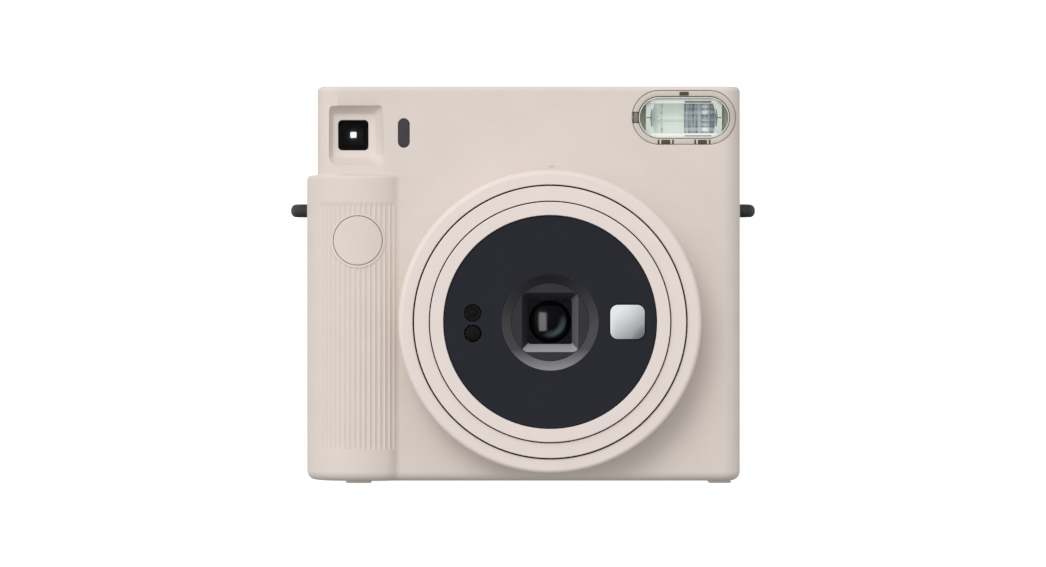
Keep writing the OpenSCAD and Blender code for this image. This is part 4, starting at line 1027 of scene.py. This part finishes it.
def trough_painted_reflection_look(middle_x):
    """Bright metal with a painted reflection, split at middle_x into a pale half and a ribbed blue-grey half."""
    n = Nodes("flash_trough_ribbed_painted_reflection")
    across = n.axes()["X"]
    ribs = n.noise(0.75, 2.0, (1, 0.02, 0.03))
    rows = n.noise(1.3, 1.0, (0.03, 0.2, 1))

    def past(x0, x1, low=0, high=1):
        return n.spread(across, low, high, (middle_x + x0) * MM, (middle_x + x1) * MM)

    pale = n.mix(n.spread(ribs, 0, 0.35), linear((226, 233, 224)), linear((238, 242, 236)))
    pale = n.mix(past(-9, -5, 0, 0.8), linear((216, 228, 219)), pale)
    seam = n.spread(n.maths("ABSOLUTE", n.maths("SUBTRACT", across, (middle_x - 6.7) * MM)), 1, 0, 0.0001, 0.0004)
    pale = n.mix(n.product(seam, n.spread(rows, 0.2, 0.9, 0.4, 0.6)), pale, linear((150, 164, 154)))
    cool = n.mix(n.spread(ribs, 0, 1, 0.4, 0.6), linear((92, 104, 112)), linear((176, 186, 192)))
    cool = n.mix(n.spread(rows, 0, 0.45, 0.4, 0.65), cool, linear((222, 230, 232)))
    # A painted highlight band across the blue-grey half.
    glare = n.product(past(5.2, 5.7), past(7.0, 7.4, 1, 0), n.spread(rows, 0.1, 1, 0.35, 0.6))
    cool = n.mix(glare, cool, linear((244, 248, 248)))
    colour = n.mix(past(-0.1, 0.1), pale, cool)
    n.feed("Base Color", colour)
    # The trough glows a little: painted light.
    n.feed("Emission Color", colour)
    n.feed("Emission Strength", 0.14)
    n.gloss(ribs, 0.16, 0.3, ribs, 0.05)
    return n.material


def build_flash():
    y = FACE_Y
    # Clear shell: a border band with a groove, then a shallow dished window
    flash_ring("flash_border", [(1.6, 0.12), (0.3, 0.05), (0.1, 0.15), (0.02, 0.35), (0.02, 1.5), (0.12, 1.7),
                                (0.5, 1.75), (1.6, 1.8)], "flash_window", border_look(), ("flash_window",))
    flash_ring("flash_pane", [(1.35, 1.9), (0.7, 1.87), (0.5, 1.95), (0.42, 2.2), (0.3, 4.5), (0.25, 6.5),
                              (0.24, 7.6), (1.1, 7.6), (1.35, 2.4)], "flash_window", "flash_clear")
    flash_ring("flash_pane_rim", [(0.38, 1.98), (0.36, 2.3), (1.3, 2.3), (1.3, 1.98)], "flash_window",
               finish("flash_rim_clear", (222, 224, 212), 0.25, 0.5, 0.004, 0.03))
    flash_ring("flash_groove", [(0.4, 1.72), (0.4, 1.9), (1.3, 1.9), (1.3, 1.72)], "flash_window", "switch_plastic")

    # Housing seen through the window around the reflector
    low, high = box("flash_reflector")
    grey = finish("flash_housing_grey", (158, 164, 150), 0.4, 0.8, 0.02, 0.08)
    tray = flash_ring("flash_tray", [(1.6, 1.9), (7.0, 1.9), (7.0, 7.9), (4.2, 7.9), (3.4, 4.0), (2.6, 2.6),
                                     (1.6, 2.3)], "flash_frame", grey)
    room = brick((low[0] - 0.05, y, low[2] - 0.05), (high[0] + 0.05, y + 12, high[2] + 0.05))
    carve(tray, [scratch("tray_cut", *room)])
    settle(tray, "flash_frame", grey, ("flash_frame",))

    x0, x1, mid_z = low[0], high[0], (low[2] + high[2]) / 2
    half_h, trough_h = (high[2] - low[2]) / 2, 4.55
    profile = []
    for k in range(17):
        t = -1 + 2 * k / 16
        profile.append((low[1] + 0.3 + 4.4 * (1 - t * t) ** 0.8, mid_z + trough_h * t))
    profile += [(low[1] + 0.3, mid_z + half_h - 0.1), (high[1], mid_z + half_h - 0.1), (high[1], mid_z - half_h + 0.1),
                (low[1] + 0.3, mid_z - half_h + 0.1)]
    trough = loft([[(x, py, pz) for py, pz in profile] for x in (x0 + 1.2, x1 - 1.2)])
    replace("flash_trough", trough, "flash_reflector", trough_painted_reflection_look(FLASH[0] + 0.1))
    # The white bars glow a little: painted light.
    gloss = finish("flash_frame_gloss", (246, 250, 246), 0.2, 0.8, 0.003, 0.02, painted_glow=0.14)
    for name, z0, z1 in (("flash_bar_top", trough_h, half_h), ("flash_bar_low", -half_h, -4.35)):
        bar = soft_brick((x0 + 1.3, low[1] - 0.15, mid_z + z0), (x1 - 1.3, low[1] + 1.6, mid_z + z1), 0.35)
        make(name, bar, "flash_reflector", gloss)
    # The cheeks glow a little too: painted light.
    pearl = finish("flash_cheek_plastic", (224, 234, 226), 0.3, 0.7, 0.01, 0.05, painted_glow=0.1)
    cheek = ((0, 4.4), (1.5, 5.8), (2.6, 5.8), (2.6, 4.2), (1.75, 1.6), (1.55, 0.3), (1.75, -1.2), (2.6, -4.2),
             (2.6, -5.8), (1.5, -5.8), (0, -4.4))
    for tag, side, edge in (("left", 1, x0), ("right", -1, x1)):
        shape = prism([(edge + side * a, mid_z + b) for a, b in cheek], low[1] + 0.1, low[1] + 2.4)
        make("flash_cheek_" + tag, shape, "flash_reflector", pearl)
        notch = [(edge + side * (2.05 - 0.55 * math.cos(math.radians(a))), mid_z + 0.3 + 2.6 * a / 60)
                 for a in range(-60, 61, 15)]
        ribbon = [(x - 0.1, z) for x, z in notch] + [(x + 0.1, z) for x, z in reversed(notch)]
        make("flash_notch_" + tag, prism(ribbon, low[1] + 0.02, low[1] + 0.5), "flash_reflector", "switch_plastic")
        lead = rod_x(low[1] + 0.1, mid_z + 0.35, 0.12, *sorted((edge + side * 0.2, edge + side * 1.5)))
        make("flash_lead_" + tag, lead, "flash_reflector", "switch_plastic")
    low_t, high_t = box("flash_tube")
    tube = middle("flash_tube")
    glass = rod_x(tube[1], tube[2], 0.98, low_t[0], high_t[0], 32, 0.2)
    replace("flash_tube_glass", glass, "flash_tube", "xenon_glass")
    for tag, a, b in (("left", low_t[0], x0 + 1.5), ("right", x1 - 1.5, high_t[0])):
        cap = rod_x(tube[1], tube[2], 0.7, a + 0.02, b, 24, 0.15)
        make("flash_tube_cap_" + tag, cap, "flash_tube", "spring_steel")

    # Grey strips over the right half of the top and low bars: painted shadow where the bars show a dark band.
    slot = finish("flash_shadow_band_grey", (120, 128, 130), 0.3, 0.5, 0.004, 0.05)
    for name, z0, z1 in (("flash_shadow_band_top", 4.8, 5.35), ("flash_shadow_band_low", -5.3, -5.0)):
        strip = soft_brick((FLASH[0] + 0.2, low[1] - 0.18, mid_z + z0), (x1 - 3.2, low[1] + 0.6, mid_z + z1), 0.05)
        make(name, strip, "flash_reflector", slot)

    # Clips in the border
    olive = finish("flash_clip_olive", (70, 65, 44), 0.4, 0.5, 0.01, 0.12)
    slate = finish("flash_clip_grey", (128, 126, 114), 0.4, 0.5, 0.01, 0.1)
    fz = FLASH[2]
    clips = [("top", 48.4, 3.0, fz + 7.15, 1.35, olive), ("low_a", 42.9, 2.9, fz - 7.3, 1.4, olive),
             ("low_b", 53.9, 2.9, fz - 7.3, 1.4, olive), ("side", FLASH[0] - 14.5, 1.5, fz, 3.2, slate)]
    for tag, x, w, z, h, look in clips:
        piece = soft_brick((x - w / 2, y - 0.03, z - h / 2), (x + w / 2, y + 1.2, z + h / 2), 0.22)
        make("flash_clip_" + tag, piece, "flash_window", look)
        if tag.startswith("low"):
            for end, s in (("a", -1), ("b", 1)):
                bar_x = x + s * 2.17
                bar = soft_brick((bar_x - 0.3, y - 0.02, z - h / 2), (bar_x + 0.3, y + 1.0, z + h / 2), 0.1)
                make(f"flash_bar_{tag}_{end}", bar, "flash_window", olive)
    gap = soft_brick((FLASH[0] - 15.4, y - 0.01, fz - 1.75), (FLASH[0] - 13.65, y + 1.1, fz + 1.75), 0.1)
    make("flash_clip_side_gap", gap, "flash_window", "switch_plastic")


# ---------------------------------------------------------------- back, sides and base

def mirrored(shape):
    """The same shape with front and back swapped."""
    verts, faces = shape
    return [(x, -y, z) for x, y, z in verts], faces


def upright(shape):
    """Turns a plate lying across Y into one lying across Z."""
    verts, faces = shape
    return [(x, z, y) for x, y, z in verts], faces


def build_door():
    low, high = box("film_door")
    pin = middle("film_door_pin")
    x1 = pin[0] - 1.8
    x_mid, z_mid = (low[0] + x1) / 2, (low[2] + high[2]) / 2
    panel = plate(x_mid, z_mid, x1 - low[0], high[2] - low[2], 6, low[1] + 0.001, high[1], 0.2, 1.0, 12)
    door = scratch("back_door_panel", *panel)
    z0, z1 = low[2] + 7.3, high[2] - 7.3
    hinge = [scratch("hinge_rod", *rod_z(pin[0], pin[1], 1.7, z0, z1, 40, 0.2)),
             scratch("hinge_web", *brick((x1 - 1, pin[1] - 0.8, z0), (pin[0], high[1] - 0.05, z1)))]
    carve(door, hinge, "UNION")
    pane_low, pane_high = box("film_door_window")
    pane = (pane_low + pane_high) / 2
    latch_z = middle("door_latch")[2]
    cuts = [rod_z(pin[0], pin[1], 0.85, -5, 130, 24),
            mirrored(flared_hole(pane[0], pane[2], 12, 32, 1.5, -high[1], -20, 0.5)),
            mirrored(flared_hole(-34.8, latch_z, 8, 16.6, 1, -high[1], -20, 0.5))]
    # Shallow panel in the middle of the door, its edges sloped
    cuts.append(loft(pad_rings(x_mid + 4, z_mid, 70, 88, 8, [(high[1] - 0.35, 0.6), (high[1] + 1, -0.6)], 12)))
    carve(door, [scratch("door_cut", *cut) for cut in cuts])
    weighted(settle(door, "film_door", "cream", ("film_door",)))
    glass = plate(pane[0], pane[2], 11.9, 31.9, 1.4, pane_low[1], pane_high[1] - 0.3, 0.1, 0.4, 10)
    replace("door_pane", glass, "film_door_window", "pack_window")

    low, high = box("battery_door")
    pin = middle("battery_door_pin")
    bay = scratch("bay_door_panel", *soft_brick((low[0], pin[1], low[2]), (low[0] + 1.8, high[1], high[2]), 0.35))
    carve(bay, [scratch("bay_rod", *rod_z(pin[0], pin[1], 1.34, low[2], high[2], 32, 0.2))], "UNION")
    # Thumb groove with four ridges beside it
    z0, z1 = high[2] - 19.7, high[2] - 5.7
    cuts = [rod_z(pin[0], pin[1], 0.65, -5, 130, 24), rod_z(low[0] - 1.2, high[1] - 3.7, 2.0, z0, z1, 40, 0.8)]
    cuts += [rod_z(low[0] - 0.62, high[1] - 8.0 - 1.2 * k, 0.8, z0, z1, 20, 0.3) for k in range(4)]
    carve(bay, [scratch("bay_cut", *cut) for cut in cuts])
    weighted(settle(bay, "battery_door", "cream", ("battery_door",)))


def build_small():
    low, high = box("strap_lugs")
    mid_y = (low[1] + high[1]) / 2
    reach = high[0] - HALF_W
    for tag, s in (("left", -1), ("right", 1)):
        body = upright(plate(s * (HALF_W + reach - 5), mid_y, 10, 8, 3.9, low[2] - 0.45, high[2], 1.75, 1.75, 12))
        lug = scratch("strap_lug_" + tag, *body)
        a, b = sorted((s * (HALF_W + 0.02), s * 90))
        carve(lug, [scratch("lug_side", *brick((a, -20, 60), (b, 40, 100)))], "INTERSECT")
        a, b = sorted((s * (HALF_W - 3.0), s * (HALF_W + 0.5)))
        neck = brick((a, mid_y - 3, low[2] + 0.05), (b, mid_y + 3, high[2] - 0.05))
        carve(lug, [scratch("lug_neck", *neck)], "UNION")
        eye = (s * (HALF_W + reach - 3.4), mid_y, 3.2, 3.2, 1.6)
        holes = [upright(flared_hole(*eye, low[2], high[2] + 2, 0.5)),
                 upright(mirrored(flared_hole(*eye, -high[2], -low[2] + 1, 0.5)))]
        carve(lug, [scratch("lug_hole", *hole) for hole in holes])
        settle(lug, "strap_lugs", "rubber_black", ("strap_lugs",))

    low, high = box("feet")
    for tag, x, w in (("left", low[0] + 4.7, 7.6), ("right", high[0] - 3.35, 6.7)):
        foot = upright(plate(x, (low[1] + high[1]) / 2, w, high[1] - low[1], 1.5, low[2], high[2], 0.3, 0.02, 8))
        replace("foot_" + tag, foot, "feet", "cream")

    low, high = box("rear_lights")
    dome = [(0, low[1]), (1.6, low[1]), (1.6, high[1] - 0.5), (1.3, high[1] - 0.2), (0.8, high[1] - 0.05), (0, high[1])]
    replace("ready_lamp", solid_lathe(dome, high[0] - 1.6, high[2] - 1.6, 48), "rear_lights", "rear_lights")
    pane_y = BACK_Y - 0.1
    pane = rod_y(low[0] + 2.6, low[2] + 2.6, 2.6, pane_y - 1.4, pane_y, 64, 0.25)
    make("counter_pane", pane, "rear_lights", "tube_glass")


# ---------------------------------------------------------------- CAD nodes that stay

BEVELLED = {"main_frame": 0.4, "film_pack": 0.5, "roller_frame": 0.15, "battery_holder": 0.3, "circuit_board": 0.12,
            "door_latch": 0.25, "pressure_pads": 0.08, "battery_contacts": 0.08, "eject_claw": 0.2, "door_seal": 0.15,
            "lens_base": 0.3, "drive_motor": 0.3, "button_switch": 0.2, "battery_cells": 0.5, "counter_dial": 0.12,
            "roller_front": 0.3, "roller_rear": 0.3, "flash_capacitor": 0.3, "shutter_base": 0.2, "shutter_cover": 0.2}


def dress_kept():
    """Every CAD node still shown gets its slot's material, and the blocky ones soft edges."""
    for name, piece in frame["nodes"].items():
        piece.data.materials.clear()
        piece.data.materials.append(LOOKS[SLOT_OF[name]])
        if name in BEVELLED:
            weld = piece.modifiers.new("weld", "WELD")
            weld.merge_threshold = 1e-6
            bevel = piece.modifiers.new("soft_edges", "BEVEL")
            bevel.width = BEVELLED[name] * MM
            bevel.segments = 2
            bevel.limit_method = "ANGLE"
            bevel.angle_limit = math.radians(50)


# ---------------------------------------------------------------- stage, light and camera

def build_stage():
    """Pale floor that curves up into the backdrop."""
    depth, width, radius, rise = 4.0, 7.0, 1.2, 5.0
    path = [(-5.0, 0.0), (-1.2, 0.0), (0.0, 0.0), (depth, 0.0)]
    for k in range(1, 17):
        a = math.pi / 2 * k / 16
        path.append((depth + radius * math.sin(a), radius * (1 - math.cos(a))))
    path.append((depth + radius, rise))
    verts = [(x, y, z - 0.0002) for y, z in path for x in (-width, width)]
    faces = [(2 * k, 2 * k + 1, 2 * k + 3, 2 * k + 2) for k in range(len(path) - 1)]
    mesh = bpy.data.meshes.new("stage_sweep")
    mesh.from_pydata(verts, [], faces)
    for polygon in mesh.polygons:
        polygon.use_smooth = True
    floor = show(bpy.data.objects.new("stage_sweep", mesh))
    n = Nodes("stage_paper")
    fine = n.noise(2.0, 4.0)
    n.feed("Base Color", n.mix(n.spread(fine, 0, 1), (0.9, 0.9, 0.9, 1), (0.93, 0.93, 0.93, 1)))
    n.gloss(fine, 0.8, 0.95, fine, 0.02)
    n.feed("Specular IOR Level", 0.1)
    n.feed("Emission Color", (1, 1, 1, 1))
    n.feed("Emission Strength", 0.8)
    floor.data.materials.append(n.material)
    floor.visible_diffuse = False
    floor.visible_glossy = False


def area(name, place, target, size, power, rgb=(1, 1, 1), size_y=None):
    light = bpy.data.lights.new(name, "AREA")
    light.shape = "RECTANGLE"
    light.size, light.size_y = size, size_y or size
    light.energy = power
    light.color = rgb
    lamp = show(bpy.data.objects.new(name, light))
    lamp.location = place
    lamp.rotation_euler = (Vector(target) - Vector(place)).to_track_quat("-Z", "Y").to_euler()
    return lamp


# Brightness of the dome from straight below (0) to straight above (1)
DOME_STOPS = ((0.0, 0.15), (0.5, 0.76), (0.72, 0.76), (1.0, 0.55))
DOME_LOBE = 0.36
LOBE_AIM = (math.radians(-55), math.radians(25))
KEY_POWER, STRIP_POWER = 17, 50
CAMERA_AT = (0, -2.0, 0.0601)
CAMERA_LENS_MM = 227.5


def build_light():
    world = bpy.data.worlds.new("studio")
    bpy.context.scene.world = world
    # Even dome that dims near the floor, plus one very broad lobe from the left and in front
    n = Nodes(world, "Background", "Generated")
    ramp = n.add("ShaderNodeValToRGB")
    while len(ramp.color_ramp.elements) < len(DOME_STOPS):
        ramp.color_ramp.elements.new(0.5)
    for stop, (at, level) in zip(ramp.color_ramp.elements, DOME_STOPS):
        stop.position = at
        stop.color = (level, level, level, 1)
    n.feed(ramp.inputs["Fac"], n.spread(n.axes()["Z"], 0, 1, -1, 1))
    turn, lift = LOBE_AIM
    dot = n.add("ShaderNodeVectorMath", operation="DOT_PRODUCT")
    n.feed(dot.inputs[0], n.place)
    n.feed(dot.inputs[1], (math.sin(turn) * math.cos(lift), -math.cos(turn) * math.cos(lift), math.sin(lift)))
    lobe = n.spread(dot.outputs["Value"], 0, DOME_LOBE, 0, 1)
    n.feed("Strength", n.maths("ADD", ramp.outputs["Color"], lobe))
    n.feed("Color", (1, 1, 1, 1))
    key = area("key_softbox", (-0.6, -1.9, 1.15), (0, 0, 0.05), 1.2, KEY_POWER, (1, 0.99, 0.98))
    key.visible_glossy = False
    # Strip whose only job is the upright highlight in the lens
    strip = area("strip_lens", (-0.38, -1.15, 0.06), (0.008, -0.02, 0.0486), 0.4, STRIP_POWER, size_y=1.0)
    seen = bpy.data.collections.new("strip_receivers")
    seen.objects.link(bpy.data.objects["front_glass"])
    strip.light_linking.receiver_collection = seen


def build_camera():
    camera = bpy.data.cameras.new("camera_front")
    camera.sensor_fit = "HORIZONTAL"
    camera.sensor_width = 36
    camera.lens = CAMERA_LENS_MM
    camera.clip_end = 50
    view = show(bpy.data.objects.new("camera_front", camera))
    view.location = CAMERA_AT
    view.rotation_euler = (math.radians(90), 0, 0)
    bpy.context.scene.camera = view
    settings = bpy.context.scene.view_settings
    settings.view_transform = "Standard"
    settings.look = "None"


dress_kept()
build_covers()
build_lens()
build_finder()
build_button()
build_flash()
build_door()
build_small()
build_stage()
build_light()
build_camera()
